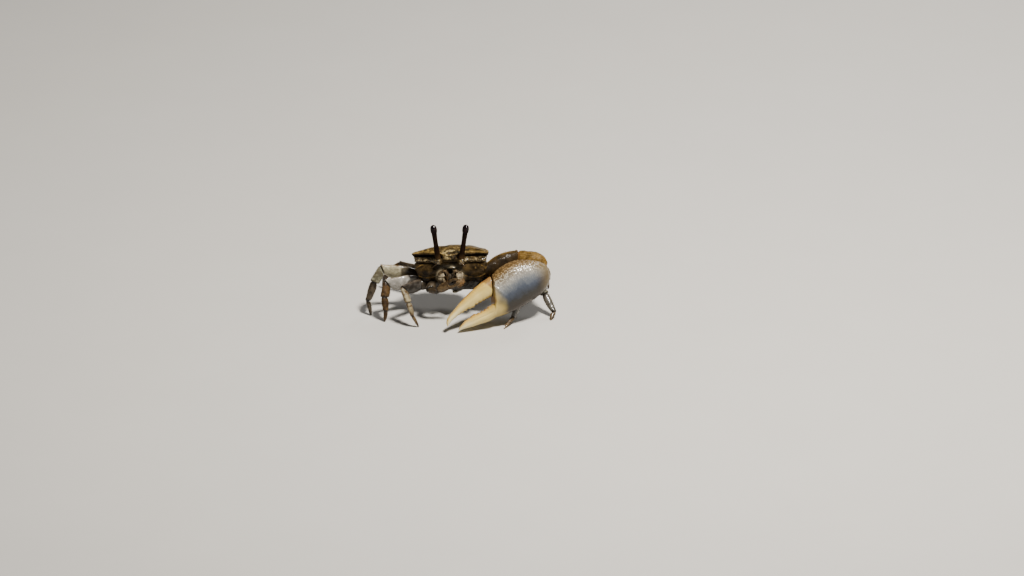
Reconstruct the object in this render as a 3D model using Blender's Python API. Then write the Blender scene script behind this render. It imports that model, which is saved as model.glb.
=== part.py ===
"""A male fiddler crab, life size, standing with its big claw folded in front of the face.

The body, the big claw and the small claw are modelled in millimetres, each in a frame of
its own, and the walking legs from their joints. Every article is a separate object that
keeps a thin gap to the one it hinges on.
"""

import math

import bmesh
import bpy
import numpy as np
from mathutils import Matrix, Vector

MM = 0.001
GAP = 0.3

# Driving dimensions, in millimetres
CARAPACE_WIDTH = 22.4
CARAPACE_REAR = 6.2
DOME_HEIGHT = 1.5
NOSE_DROP = 0.4
BODY_FLOOR = -11.2
BODY_SPLIT = -8.3
CARAPACE_LEVELS = (0.0, -0.45, -0.9, -2.0, -2.6, -3.2, -4.6, -6.2, -7.4, BODY_SPLIT)
MOUTH_CENTRE = (0.0, -7.2, -7.4)
MOUTH_RADII = (3.3, 2.2, 2.9)
CENTRE_OF_STANCE = Vector((2.62, -2.01, 0.0))

# How the body is carried: the front is raised and the side of the big claw a little more
BODY_PLACE = Vector((0.7, 0.0, 17.5))
BODY_YAW = math.radians(-9)
BODY_PITCH = math.radians(-15)
BODY_ROLL = math.radians(-5)

# The big claw's own frame: +X runs from the heel to the finger tips, +Y to its upper edge,
# and +Z to the inner face, away from the one named here
CLAW_HEEL = Vector((27.5, -7.4, 11.02))
CLAW_AIM = Vector((-0.8635, -0.4143, -0.2841))
CLAW_FACES = Vector((0.0, -0.9135, 0.4067))

# Where the two claw arms leave the body, in the body's own frame
BIG_SHOULDER = Vector((7.4, -3.2, -6.6))
SMALL_SHOULDER = Vector((-5.6, -5.2, -8.6))

# Joints of the walking legs, in millimetres above the floor and from the body's middle
LEGS = {
    "leg_right_1": {
        "hip": (-7.2, -3.1, -9.2),
        "knee": (-14.1, -12.0, 10.2),
        "wrist": (-12.6, -14.4, 6.9),
        "ankle": (-11.4, -15.9, 3.4),
        "foot": (-9.6, -16.3, 0.0),
        "size": 0.86,
    },
    "leg_right_2": {
        "hip": (-7.5, -0.5, -9.0),
        "knee": (-19.0, -7.6, 9.9),
        "wrist": (-19.6, -9.9, 6.6),
        "ankle": (-19.3, -11.6, 3.0),
        "foot": (-19.6, -12.6, 0.0),
        "size": 1.0,
    },
    "leg_right_3": {
        "hip": (-6.7, 1.9, -9.0),
        "knee": (-20.5, -2.4, 12.3),
        "wrist": (-22.7, -4.6, 9.0),
        "ankle": (-24.5, -6.5, 4.0),
        "foot": (-23.6, -8.2, 0.0),
        "size": 1.04,
    },
    "leg_right_4": {
        "hip": (-5.2, 3.9, -9.0),
        "knee": (-15.2, 9.0, 8.6),
        "wrist": (-17.9, 10.4, 6.4),
        "ankle": (-20.0, 11.8, 3.0),
        "foot": (-20.4, 12.2, 0.0),
        "size": 0.84,
    },
    "leg_left_1": {
        "hip": (7.4, -2.3, -9.4),
        "knee": (17.0, -4.0, 6.6),
        "wrist": (19.9, -6.9, 4.4),
        "ankle": (17.9, -13.6, 1.8),
        "foot": (15.2, -17.7, 0.0),
        "size": 0.86,
    },
    "leg_left_2": {
        "hip": (7.4, 0.0, -9.2),
        "knee": (23.4, -0.6, 9.6),
        "wrist": (27.25, -5.0, 5.4),
        "ankle": (29.8, -9.1, 1.6),
        "foot": (28.9, -11.6, 0.0),
        "size": 1.0,
    },
    "leg_left_3": {
        "hip": (6.5, 2.2, -9.2),
        "knee": (20.8, 7.6, 9.6),
        "wrist": (24.4, 9.2, 7.8),
        "ankle": (27.7, 10.9, 3.9),
        "foot": (28.4, 11.3, 0.0),
        "size": 1.04,
    },
    "leg_left_4": {
        "hip": (5.0, 4.0, -9.2),
        "knee": (15.6, 11.4, 7.8),
        "wrist": (18.3, 13.8, 6.2),
        "ankle": (20.6, 16.0, 3.0),
        "foot": (21.2, 16.6, 0.0),
        "size": 0.84,
    },
}

# Colour, roughness and metallic value of each finish
FINISHES = {
    "carapace_shell": ((0.23, 0.17, 0.10), 0.35, 0.0),
    "claw_shell": ((0.55, 0.55, 0.56), 0.3, 0.0),
    "finger_shell": ((0.85, 0.76, 0.55), 0.3, 0.0),
    "arm_shell": ((0.38, 0.26, 0.13), 0.4, 0.0),
    "leg_shell": ((0.36, 0.33, 0.27), 0.4, 0.0),
    "mouth_shell": ((0.60, 0.56, 0.47), 0.4, 0.0),
    "eyestalk_skin": ((0.06, 0.035, 0.025), 0.35, 0.0),
    "eye_cornea": ((0.01, 0.008, 0.01), 0.08, 0.0),
}


def finish(name):
    """The Principled material of one finish, made once."""
    material = bpy.data.materials.get(name)
    if material is None:
        colour, roughness, metallic = FINISHES[name]
        material = bpy.data.materials.new(name)
        material.use_nodes = True
        shader = material.node_tree.nodes["Principled BSDF"]
        shader.inputs["Base Color"].default_value = (*colour, 1.0)
        shader.inputs["Roughness"].default_value = roughness
        shader.inputs["Metallic"].default_value = metallic
    return material


def unit(vector):
    return np.asarray(vector, float) / np.linalg.norm(vector)


def smooth_through(points, count):
    """count values on the Catmull-Rom curve through the points, which may be numbers or vectors."""
    points = np.asarray(points, float)
    before = 2 * points[0] - points[1]
    after = 2 * points[-1] - points[-2]
    padded = np.concatenate([[before], points, [after]])
    out = []
    for place in np.linspace(0, len(points) - 1, count):
        i = min(int(place), len(points) - 2)
        t = place - i
        a, b, c, d = padded[i : i + 4]
        bend = (2 * a - 5 * b + 4 * c - d) * t**2 + (3 * b - a - 3 * c + d) * t**3
        out.append(0.5 * (2 * b + (c - a) * t + bend))
    return np.array(out)


def lofted(name, rings, collection):
    """A closed mesh through rings of points of equal count, given in millimetres. Each end is a
    fan round its middle."""
    shape = bmesh.new()
    rows = [[shape.verts.new(Vector(point) * MM) for point in ring] for ring in rings]
    for row, following in zip(rows, rows[1:]):
        for i in range(len(row)):
            j = (i + 1) % len(row)
            shape.faces.new((row[i], row[j], following[j], following[i]))
    for row in (rows[0], rows[-1]):
        middle = shape.verts.new(sum((vertex.co for vertex in row), Vector()) / len(row))
        for vertex, following in zip(row, row[1:] + row[:1]):
            shape.faces.new((vertex, following, middle))
    bmesh.ops.recalc_face_normals(shape, faces=shape.faces)
    mesh = bpy.data.meshes.new(name)
    shape.to_mesh(mesh)
    shape.free()
    mesh.shade_smooth()
    obj = bpy.data.objects.new(name, mesh)
    collection.objects.link(obj)
    return obj


def oval(centre, normal, thick_axis, half_wide, half_thick, sides, squareness):
    """A superellipse ring in the plane of that normal, its long way square to thick_axis."""
    normal = unit(normal)
    wide = unit(np.cross(thick_axis, normal))
    thick = np.cross(normal, wide)
    angles = (np.arange(sides) + 0.5) * 2 * math.pi / sides
    along = np.sign(np.cos(angles)) * abs(np.cos(angles)) ** (2 / squareness)
    across = np.sign(np.sin(angles)) * abs(np.sin(angles)) ** (2 / squareness)
    return centre + np.outer(along * half_wide, wide) + np.outer(across * half_thick, thick)


def horn_rings(path, wide, thick, thick_axis, rings, sides, squareness=2.2, lean=None):
    """Oval rings along a smooth path. wide and thick are half sizes at the path's points, and
    lean turns the rings about thick_axis, in degrees."""
    centres = smooth_through(path, rings)
    wides = np.maximum(smooth_through(wide, rings), 0.05)
    thicks = np.maximum(smooth_through(thick, rings), 0.05)
    leans = np.radians(smooth_through(lean or [0] * len(path), rings))
    tangents = np.gradient(centres, axis=0)
    axis = unit(thick_axis)
    ovals = []
    for centre, tangent, half_wide, half_thick, turn in zip(centres, tangents, wides, thicks, leans):
        normal = tangent * math.cos(turn) + np.cross(axis, tangent) * math.sin(turn)
        ovals.append(oval(centre, normal, axis, half_wide, half_thick, sides, squareness))
    return ovals


def swept(name, path, wide, thick, thick_axis, collection, rings=9, sides=12, squareness=2.2, lean=None):
    """A tapering horn along a smooth path, closed at both ends."""
    ovals = horn_rings(path, wide, thick, thick_axis, rings, sides, squareness, lean)
    return lofted(name, ovals, collection)


def jointed(names, joints, profiles, thick_axes, collection, sides=10, last_normal=None):
    """The articles of a limb. Each runs from joint to joint and is mitred where the limb bends.
    A profile lists (share of the length, half width, half thickness, bow to the outside)."""
    joints = [np.asarray(joint, float) for joint in joints]
    ways = [unit(b - a) for a, b in zip(joints, joints[1:])]
    mitres = [unit(a + b) for a, b in zip(ways, ways[1:])]
    last = ways[-1] if last_normal is None else unit(last_normal)
    planes = [ways[0], *mitres, last]
    made = []
    for i, (name, profile) in enumerate(zip(names, profiles)):
        start = joints[i] + (planes[i] * GAP / 2 if i else 0)
        end = joints[i + 1] - (planes[i + 1] * GAP / 2 if i < len(names) - 1 else 0)
        thick_axis = thick_axes[i]
        outward = np.cross(thick_axis, ways[i])
        ovals = []
        for step, (share, half_wide, half_thick, bow) in enumerate(profile):
            centre = start + (end - start) * share + outward * bow
            normal = ways[i]
            if step == 0:
                normal = planes[i]
            if step == len(profile) - 1:
                normal = planes[i + 1]
            ovals.append(oval(centre, normal, thick_axis, half_wide, half_thick, sides, 2.3))
        made.append(lofted(name, ovals, collection))
    return made


def knob(centre, radii, collection):
    """An ellipsoid of a few faces, for teeth, knuckles and cutters."""
    bpy.ops.mesh.primitive_ico_sphere_add(subdivisions=2, radius=1.0)
    obj = bpy.context.active_object
    obj.name = "knob"
    for other in obj.users_collection:
        other.objects.unlink(obj)
    collection.objects.link(obj)
    place = Matrix.Translation(Vector(centre) * MM)
    obj.data.transform(place @ Matrix.Diagonal((*[radius * MM for radius in radii], 1.0)))
    return obj


def largest_surface(mesh):
    """Drops every closed surface of the mesh but the one with the greatest volume."""
    shape = bmesh.new()
    shape.from_mesh(mesh)
    left = set(shape.verts)
    islands = []
    while left:
        edge_of_island = [left.pop()]
        island = set(edge_of_island)
        while edge_of_island:
            vertex = edge_of_island.pop()
            for edge in vertex.link_edges:
                other = edge.other_vert(vertex)
                if other in left:
                    left.discard(other)
                    island.add(other)
                    edge_of_island.append(other)
        islands.append(island)

    def volume(island):
        total = 0.0
        for face in {face for vertex in island for face in vertex.link_faces}:
            first = face.verts[0].co
            for one, two in zip(face.verts[1:], face.verts[2:]):
                total += first.dot(one.co.cross(two.co)) / 6
        return total

    islands.sort(key=lambda island: abs(volume(island)))
    for island in islands[:-1]:
        bmesh.ops.delete(shape, geom=list(island), context="VERTS")
    shape.to_mesh(mesh)
    shape.free()


def combined(obj, operation, others):
    """Joins the other closed meshes to obj, or cuts them from it, and removes them."""
    helpers = bpy.data.collections.new("helpers of " + obj.name)
    bpy.context.scene.collection.children.link(helpers)
    for other in others:
        for held in other.users_collection:
            held.objects.unlink(other)
        helpers.objects.link(other)
    boolean = obj.modifiers.new(operation.lower(), "BOOLEAN")
    boolean.operation = operation
    boolean.operand_type = "COLLECTION"
    boolean.collection = helpers
    boolean.solver = "EXACT"
    bpy.context.view_layer.update()
    graph = bpy.context.evaluated_depsgraph_get()
    obj.data = bpy.data.meshes.new_from_object(obj.evaluated_get(graph))
    obj.modifiers.clear()
    for other in others:
        bpy.data.objects.remove(other)
    bpy.data.collections.remove(helpers)
    largest_surface(obj.data)
    obj.data.shade_smooth()
    return obj


def body_outline(level):
    """The body's plan outline at a height below (or at) the brow, half of it from the front round
    to the rear: the lobe between the eyes, the orbit, the outer tooth, the flank and the rear."""
    half = CARAPACE_WIDTH / 2
    depth = -level
    brow = smooth_step(0.5, 0.95, depth)
    ridge = smooth_step(2.0, 2.7, depth)
    below = max(0.0, depth - 3.2)
    face = 0.055 * below**2
    lobe_front = -8.9 + 1.6 * smooth_step(0.9, 2.6, depth) + face
    orbit = -6.8 + 1.5 * brow * (1 - ridge) - 0.5 * ridge + face
    bulge = 0.6 * math.sin(math.pi * min(1.0, below / 5.0))
    narrower = 1 - (0.65 * smooth_step(0.4, 1.4, depth) + 0.1 * below + 0.035 * below**2) / half
    back = 1.2 * (1 - smooth_step(0.0, 2.6, depth))
    rear = CARAPACE_REAR - back - 0.08 * below
    points = [
        (0.0, lobe_front),
        (1.7, lobe_front + 0.35),
        (2.7, (lobe_front + orbit) / 2),
        (4.4, orbit - 0.3 - 0.5 * bulge),
        (6.6, orbit - bulge),
        (8.9, orbit - 0.8 * bulge),
        (half - 0.8, orbit - 0.3),
        (half, orbit * 0.3 - 7.2 * 0.7 + 0.7 * face),
        (half - 0.1, -5.5 + face),
        (half - 0.6, -3.4 + 0.4 * face),
        (half - 1.5 - 0.2 * back, -0.6),
        (half - 2.9 - 0.4 * back, 2.3 - 0.2 * back),
        (half - 4.4 - 0.4 * back, rear - 1.6),
        (half - 6.2, rear - 0.4),
        (2.4, rear),
        (0.0, rear),
    ]
    return [(x * narrower, y) for x, y in points]


def smooth_step(low, high, value):
    share = min(1.0, max(0.0, (value - low) / (high - low)))
    return share * share * (3 - 2 * share)


def mirrored(half):
    """A closed outline from its +X half, which starts and ends on the middle plane."""
    return list(half) + [(-x, y) for x, y in half[-2:0:-1]]


def groove_depth(x, y):
    """The carapace's H-shaped furrow and the dip behind each eye."""
    side = 0.34 * math.exp(-(((abs(x) - 3.3) / 0.75) ** 2) - ((y - 0.8) / 3.0) ** 2)
    bar = 0.26 * math.exp(-((x / 2.8) ** 2) - ((y - 1.0) / 0.75) ** 2)
    behind_eye = 0.2 * math.exp(-(((abs(x) - 3.4) / 1.4) ** 2) - ((y + 4.9) / 0.7) ** 2)
    return side + bar + behind_eye


def nose_drop(x, y):
    """How far the lobe between the eyes bends down."""
    return NOSE_DROP * math.exp(-((x / 2.2) ** 2)) * smooth_step(6.0, 8.6, -y)


def carapace_dome():
    """Rings that close the back over the brow, each a shrunken brow outline raised on the dome."""
    brow = mirrored(body_outline(0.0))
    middle_y = -1.0
    rings = []
    for share in (0.97, 0.9, 0.8, 0.68, 0.54, 0.38, 0.2):
        ring = []
        for x, y in brow:
            px = x * share
            py = middle_y + (y - middle_y) * share
            rise = DOME_HEIGHT * (1 - share**2.6)
            ring.append((px, py, rise - nose_drop(px, py) - groove_depth(px, py)))
        rings.append(ring)
    return rings[::-1]


def body_shell(levels, collection):
    """The carapace: its dome, and the face and flanks down to the breast plate."""
    rings = carapace_dome()
    for level in levels:
        ring = []
        for x, y in mirrored(body_outline(level)):
            ring.append((x, y, level - nose_drop(x, y) * smooth_step(-3.0, 0.0, level)))
        rings.append(ring)
    return lofted("carapace", rings, collection)


def sternum_rings():
    """The breast plate: the body's outline carried down and drawn in to a keel."""
    rings = []
    top = BODY_SPLIT - GAP
    for share in (0.0, 0.35, 0.75, 1.0):
        level = top + (BODY_FLOOR - top) * share
        inset = 0.98 - 0.30 * share**1.6
        ring = [(x * inset, -0.6 + (y + 0.6) * inset, level) for x, y in mirrored(body_outline(top))]
        rings.append(ring)
    return rings


def body_frame():
    turn = (
        Matrix.Rotation(BODY_YAW, 4, "Z")
        @ Matrix.Rotation(BODY_ROLL, 4, "Y")
        @ Matrix.Rotation(BODY_PITCH, 4, "X")
    )
    return Matrix.Translation(BODY_PLACE) @ turn


def claw_frame():
    aim = CLAW_AIM.normalized()
    face = (CLAW_FACES - aim * CLAW_FACES.dot(aim)).normalized()
    up = aim.cross(face)
    turn = Matrix((aim, up, -face)).transposed().to_4x4()
    return Matrix.Translation(CLAW_HEEL) @ turn


def in_metres(frame):
    """A frame whose place is in millimetres, as an object's matrix."""
    moved = frame.copy()
    moved.translation = (frame.translation - CENTRE_OF_STANCE) * MM
    return moved


def holder(name, frame, collection):
    """An empty that carries the objects modelled in that frame."""
    empty = bpy.data.objects.new(name, None)
    empty.matrix_world = in_metres(frame)
    empty.empty_display_size = 0.005
    collection.objects.link(empty)
    return empty


def leg_profiles(size):
    """Half widths and thicknesses of a leg's four articles, for a leg of that size."""
    arm = [
        (0.0, 1.0, 0.8, 0.0),
        (0.10, 1.15, 0.85, 0.0),
        (0.20, 1.2, 0.8, 0.0),
        (0.34, 1.85, 0.95, 0.0),
        (0.58, 2.25, 1.05, 0.1),
        (0.80, 1.9, 0.95, 0.15),
        (1.0, 1.5, 0.85, 0.05),
    ]
    elbow = [
        (0.0, 1.15, 0.7, 0.0),
        (0.42, 1.3, 0.85, 0.15),
        (0.75, 1.35, 0.85, 0.1),
        (1.0, 1.2, 0.75, 0.0),
    ]
    shin = [
        (0.0, 1.0, 0.65, 0.0),
        (0.3, 1.12, 0.7, 0.05),
        (0.7, 0.95, 0.62, 0.05),
        (1.0, 0.75, 0.55, 0.0),
    ]
    toe = [
        (0.0, 0.62, 0.5, 0.0),
        (0.3, 0.62, 0.45, 0.08),
        (0.7, 0.45, 0.36, 0.06),
        (1.0, 0.32, 0.3, 0.0),
    ]
    return [
        [(share, wide * size, thick * size, bow) for share, wide, thick, bow in profile]
        for profile in (arm, elbow, shin, toe)
    ]


def leg_joints(leg, body):
    hip = body @ Vector(leg["hip"])
    return [np.array(hip)] + [np.array(leg[joint], float) for joint in ("knee", "wrist", "ankle", "foot")]


def thin_ways(joints):
    """The way that each article of a leg is thin. The first one's broad faces stand upright, and
    the others are thin square to the plane in which the leg folds."""
    upright = unit(np.cross(joints[1] - joints[0], (0, 0, -1)))
    folded = unit(np.cross(joints[1] - joints[0], joints[3] - joints[0]))
    return [upright if upright @ folded > 0 else -upright, folded, folded, folded]


def placed_by_joint(obj, joint):
    """Puts the object's origin on its joint, with the mesh where it was."""
    origin = Vector(joint) * MM
    obj.data.transform(Matrix.Translation(-origin))
    obj.location = origin - CENTRE_OF_STANCE * MM


def walking_leg(name, leg, body, collection):
    """The four articles of one leg. The first is returned."""
    joints = leg_joints(leg, body)
    names = [name + part for part in ("_merus", "_carpus", "_propodus", "_dactyl")]
    articles = jointed(
        names, joints, leg_profiles(leg["size"]), thin_ways(joints), collection, last_normal=(0, 0, -1)
    )
    for article, joint in zip(articles, joints):
        painted(article, "leg_shell")
        placed_by_joint(article, joint)
    return articles[0]


def grown(obj, by=1.25 * GAP):
    """A copy of the object's mesh, every point moved outwards, that cuts a neighbour clear of it."""
    mesh = obj.data.copy()
    shape = bmesh.new()
    shape.from_mesh(mesh)
    shape.normal_update()
    moved = [(vertex, vertex.co + vertex.normal * by * MM) for vertex in shape.verts]
    for vertex, place in moved:
        vertex.co = place
    shape.to_mesh(mesh)
    shape.free()
    copy = bpy.data.objects.new(obj.name + "_room", mesh)
    obj.users_collection[0].objects.link(copy)
    return copy


def root_room(roots, frame):
    """Cutters, in that frame, round the first articles of limbs that are made in millimetres
    from the floor: each is the article's own skin moved outwards."""
    rooms = []
    for root in roots:
        room = grown(root)
        to_frame = in_metres(frame).inverted()
        room.data.transform(to_frame @ Matrix.Translation(root.location))
        rooms.append(room)
    return rooms


def painted(obj, material, carrier=None):
    """Gives the object its one material, and hangs it on the frame that it was modelled in."""
    obj.data.materials.clear()
    obj.data.materials.append(finish(material))
    if carrier is not None:
        obj.parent = carrier
    return obj


def big_claw(crab):
    """The palm with its fixed finger, and the movable finger, in the claw's own frame. The palm
    is returned."""
    carrier = holder("big_claw_frame", claw_frame(), crab)
    inner = (0, 0, 1)
    hand = horn_rings(
        [
            (-1.9, 1.9, 0), (-0.7, 2.1, 0), (1.6, 2.3, 0), (4.6, 2.55, 0),
            (8, 2.8, 0), (12, 2.7, 0), (16.3, 2.45, 0),
        ],
        [1.3, 3.1, 4.75, 5.95, 6.6, 6.6, 6.05],
        [0.9, 2.3, 3.4, 4.0, 4.1, 3.7, 2.9],
        inner, rings=13, sides=20, squareness=2.25, lean=[0, 0, 0, 2, 6, 13, 24],
    )
    # The fixed finger goes on from the lower part of the palm's end
    fixed_finger = horn_rings(
        [(18.35, -1.25, 0), (20.8, -1.55, 0), (24, -1.4, 0), (27, -1.3, 0), (29, -1.45, 0), (30.2, -1.7, 0)],
        [2.1, 1.75, 1.5, 1.1, 0.62, 0.16],
        [2.35, 1.9, 1.5, 1.05, 0.62, 0.2],
        inner, rings=12, sides=20, lean=[27, 10, 0, 0, 0, 0],
    )
    palm = lofted("big_claw_palm", hand + fixed_finger, crab)
    teeth = [knob((19.4 + 1.15 * i, 0.17 - 0.012 * i * i, 0), (0.42, 0.36, 0.42), crab) for i in range(7)]
    teeth.append(knob((24.4, 0.1, 0), (0.85, 0.62, 0.6), crab))
    combined(palm, "UNION", teeth)
    finger = swept(
        "big_claw_finger",
        [
            (15.95, 5.5, 0), (19.3, 5.15, 0), (22.4, 4.65, 0), (25.7, 4.0, 0),
            (28.7, 3.2, 0), (31.0, 2.4, 0), (32.2, 1.55, 0), (32.75, 0.75, 0),
        ],
        [2.95, 2.3, 1.92, 1.48, 0.98, 0.78, 0.52, 0.16],
        [2.0, 1.85, 1.6, 1.3, 1.0, 0.75, 0.48, 0.2],
        inner, crab, rings=15, sides=12, lean=[29, 9, 0, 0, 0, 0, 0, 0],
    )
    teeth = [knob((19.4 + 1.25 * i, 2.88 - 0.055 * i, 0), (0.42, 0.34, 0.4), crab) for i in range(8)]
    teeth.append(knob((23.6, 2.7, 0), (0.7, 0.5, 0.55), crab))
    combined(finger, "UNION", teeth)
    painted(finger, "finger_shell", carrier)
    return painted(palm, "claw_shell", carrier)


def big_arm(crab, body, palm):
    """The upper arm and the wrist of the big claw, behind its palm. The arm is returned."""
    shoulder = np.array(body @ BIG_SHOULDER)
    joints = [shoulder, (19.3, -0.6, 14.9), (27.0, -2.6, 12.0)]
    arm = [
        (0.0, 1.5, 1.3, 0.0),
        (0.14, 1.6, 1.4, 0.0),
        (0.28, 1.9, 1.6, 0.1),
        (0.5, 2.6, 1.8, 0.2),
        (0.75, 2.8, 1.9, 0.2),
        (1.0, 2.4, 1.7, 0.0),
    ]
    wrist = [
        (0.0, 2.2, 1.7, 0.1),
        (0.22, 2.75, 2.2, 0.45),
        (0.55, 3.0, 2.5, 0.9),
        (0.85, 2.7, 2.3, 0.7),
        (1.0, 2.0, 1.8, 0.3),
    ]
    thin = unit((-0.08, -0.88, 0.45))
    names = ("big_claw_merus", "big_claw_carpus")
    made = jointed(names, joints, (arm, wrist), (thin, thin), crab, sides=14)
    for article, joint in zip(made, joints):
        painted(article, "arm_shell")
        placed_by_joint(article, joint)
    room = grown(palm)
    wrist_place = Matrix.Translation(made[1].location)
    room.data.transform(wrist_place.inverted() @ in_metres(claw_frame()))
    room.matrix_world = made[1].matrix_basis
    combined(made[1], "DIFFERENCE", [room])
    return made[0]


def small_claw(crab, body):
    """The feeding claw, reaching up to the mouth: two arm articles, a palm and two thin fingers.
    The first article is returned."""
    shoulder = np.array(body @ SMALL_SHOULDER)
    joints = [shoulder, (-6.5, -10.2, 9.2), (-4.2, -11.7, 9.5)]
    arm = [(0.0, 0.95, 0.85, 0.0), (0.2, 1.0, 0.9, 0.0), (0.6, 1.3, 1.05, 0.05), (1.0, 1.05, 0.9, 0.0)]
    wrist = [(0.0, 0.85, 0.8, 0.0), (0.5, 1.1, 1.0, 0.1), (1.0, 0.85, 0.8, 0.0)]
    tip = Vector((0.6, -11.9, 12.2))
    aim = (tip - Vector(joints[2])).normalized()
    thin = unit((0.1, 0.5, 0.86))
    names = ("small_claw_merus", "small_claw_carpus")
    made = jointed(names, joints, (arm, wrist), (thin, thin), crab, last_normal=aim)
    for article, joint in zip(made, joints):
        painted(article, "arm_shell")
        placed_by_joint(article, joint)
    face = Vector((0.1, -0.9, 0.42))
    face = (face - aim * face.dot(aim)).normalized()
    turn = Matrix((aim, face.cross(aim), face)).transposed().to_4x4()
    carrier = holder("small_claw_frame", Matrix.Translation(Vector(joints[2]) + aim * GAP) @ turn, crab)
    outer = (0, 0, 1)
    palm = swept(
        "small_claw_palm",
        [(0.0, 0, 0), (1.0, 0.05, 0), (2.2, 0.1, 0), (3.4, 0.05, 0)],
        [0.75, 1.15, 1.3, 1.15], [0.6, 0.8, 0.85, 0.7], outer, crab, rings=6, sides=10,
    )
    fixed_finger = swept(
        "small_fixed_finger",
        [(2.4, -0.5, 0), (4.2, -0.85, 0), (5.6, -0.9, 0), (6.7, -0.55, 0)],
        [0.5, 0.4, 0.38, 0.34], [0.5, 0.42, 0.42, 0.4], outer, crab, rings=7, sides=8,
    )
    combined(palm, "UNION", [fixed_finger])
    finger = swept(
        "small_claw_finger",
        [(3.9, 0.62, 0), (4.7, 0.85, 0), (5.7, 0.8, 0), (6.75, 0.3, 0)],
        [0.42, 0.42, 0.38, 0.34], [0.5, 0.42, 0.42, 0.4], outer, crab, rings=7, sides=8,
    )
    painted(palm, "arm_shell", carrier)
    painted(finger, "mouth_shell", carrier)
    return made[0]


def eyestalks(crab, body, carrier):
    """Two stalks and their eyes, held upright whatever the body's tilt."""
    level = body.to_3x3().inverted()
    stalks = []
    for name, side, splay in (("right", -1, -0.13), ("left", 1, 0.135)):
        base = Vector((3.5 * side, -7.9, -1.3))
        rise = level @ Vector((splay, -0.02, 1.0)).normalized()
        forward = level @ Vector((0.0, -1.0, 0.0))
        path = [base + rise * reach for reach in (0, 2.2, 5.2, 7.9)]
        size = [0.92, 0.80, 0.70, 0.78]
        stalk = swept("eyestalk_" + name, path, size, size, forward, crab, rings=7, sides=10, squareness=2.0)
        path = [base + rise * reach for reach in (8.2, 9.0, 10.0, 10.7)]
        size = [0.82, 1.0, 0.93, 0.32]
        eye = swept("eye_" + name, path, size, size, forward, crab, rings=8, sides=12, squareness=2.0)
        stalks.append(painted(stalk, "eyestalk_skin", carrier))
        painted(eye, "eye_cornea", carrier)
    return stalks


def antennae(crab, carrier):
    """A short feeler from the inner end of each eye socket."""
    made = []
    for name, side in (("right", -1), ("left", 1)):
        path = [
            (2.5 * side, -7.4, -1.9), (3.0 * side, -8.3, -2.3),
            (3.9 * side, -8.85, -3.0), (5.0 * side, -9.0, -3.9),
        ]
        size = [0.34, 0.32, 0.28, 0.25]
        forward = (0.5 * side, -1.0, 0.3)
        horn = swept("antenna_" + name, path, size, size, forward, crab, rings=6, sides=8, squareness=2.0)
        made.append(painted(horn, "leg_shell", carrier))
    return made


def mouth_doors(crab, carrier):
    """The third maxillipeds, a pair of two-part plates that stand a little open before the mouth."""
    doors = []
    for name, side in (("right", -1), ("left", 1)):
        path = [
            (2.5 * side, -6.9, -9.9), (2.75 * side, -7.4, -8.9), (2.8 * side, -7.6, -7.9),
            (2.75 * side, -7.75, -6.9), (2.65 * side, -7.8, -6.1), (2.5 * side, -7.7, -5.2),
        ]
        door = swept(
            "maxilliped_" + name, path, [0.8, 1.15, 1.2, 0.95, 1.15, 0.7], [0.4] * 6,
            (0.42 * side, -1.0, 0.0), crab, rings=11, sides=10, squareness=3.0,
        )
        doors.append(painted(door, "mouth_shell", carrier))
    return doors


def abdomen(crab, carrier):
    """The male's narrow tail, folded under the body, with a step where each segment ends."""
    path = [
        (0, 6.65, -6.3), (0, 6.6, -7.6), (0, 6.35, -9.0), (0, 5.5, -10.7),
        (0, 3.9, -11.85), (0, 1.4, -12.1), (0, -1.9, -12.1),
    ]
    widths = [3.3, 3.2, 3.0, 2.6, 2.0, 1.5, 0.7]
    rings = horn_rings(path, [0.38] * 7, widths, (1, 0, 0), 21, 12, squareness=2.8)
    stepped = []
    for i, ring in enumerate(rings):
        middle = ring.mean(axis=0)
        stepped.append(middle + (ring - middle) * (1.06 - 0.06 * (i % 3)))
    return painted(lofted("abdomen", stepped, crab), "leg_shell", carrier)


def mouth_hollow(crab):
    return knob(MOUTH_CENTRE, MOUTH_RADII, crab)


def build():
    for obj in list(bpy.data.objects):
        bpy.data.objects.remove(obj)
    crab = bpy.data.collections.new("fiddler_crab")
    bpy.context.scene.collection.children.link(crab)
    body = body_frame()
    carrier = holder("body_frame", body, crab)
    roots = [walking_leg(name, leg, body, crab) for name, leg in LEGS.items()]
    palm = big_claw(crab)
    roots.append(big_arm(crab, body, palm))
    roots.append(small_claw(crab, body))
    stalks = eyestalks(crab, body, carrier)
    horns = antennae(crab, carrier)
    doors = mouth_doors(crab, carrier)
    abdomen(crab, carrier)

    carapace = body_shell(CARAPACE_LEVELS, crab)
    rooms = [grown(part) for part in stalks + horns + doors]
    combined(carapace, "DIFFERENCE", root_room(roots, body) + rooms + [mouth_hollow(crab)])
    painted(carapace, "carapace_shell", carrier)

    sternum = lofted("sternum", sternum_rings(), crab)
    rooms = [grown(part) for part in doors]
    combined(sternum, "DIFFERENCE", root_room(roots, body) + rooms + [mouth_hollow(crab)])
    painted(sternum, "leg_shell", carrier)


build()
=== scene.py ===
import math

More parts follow.
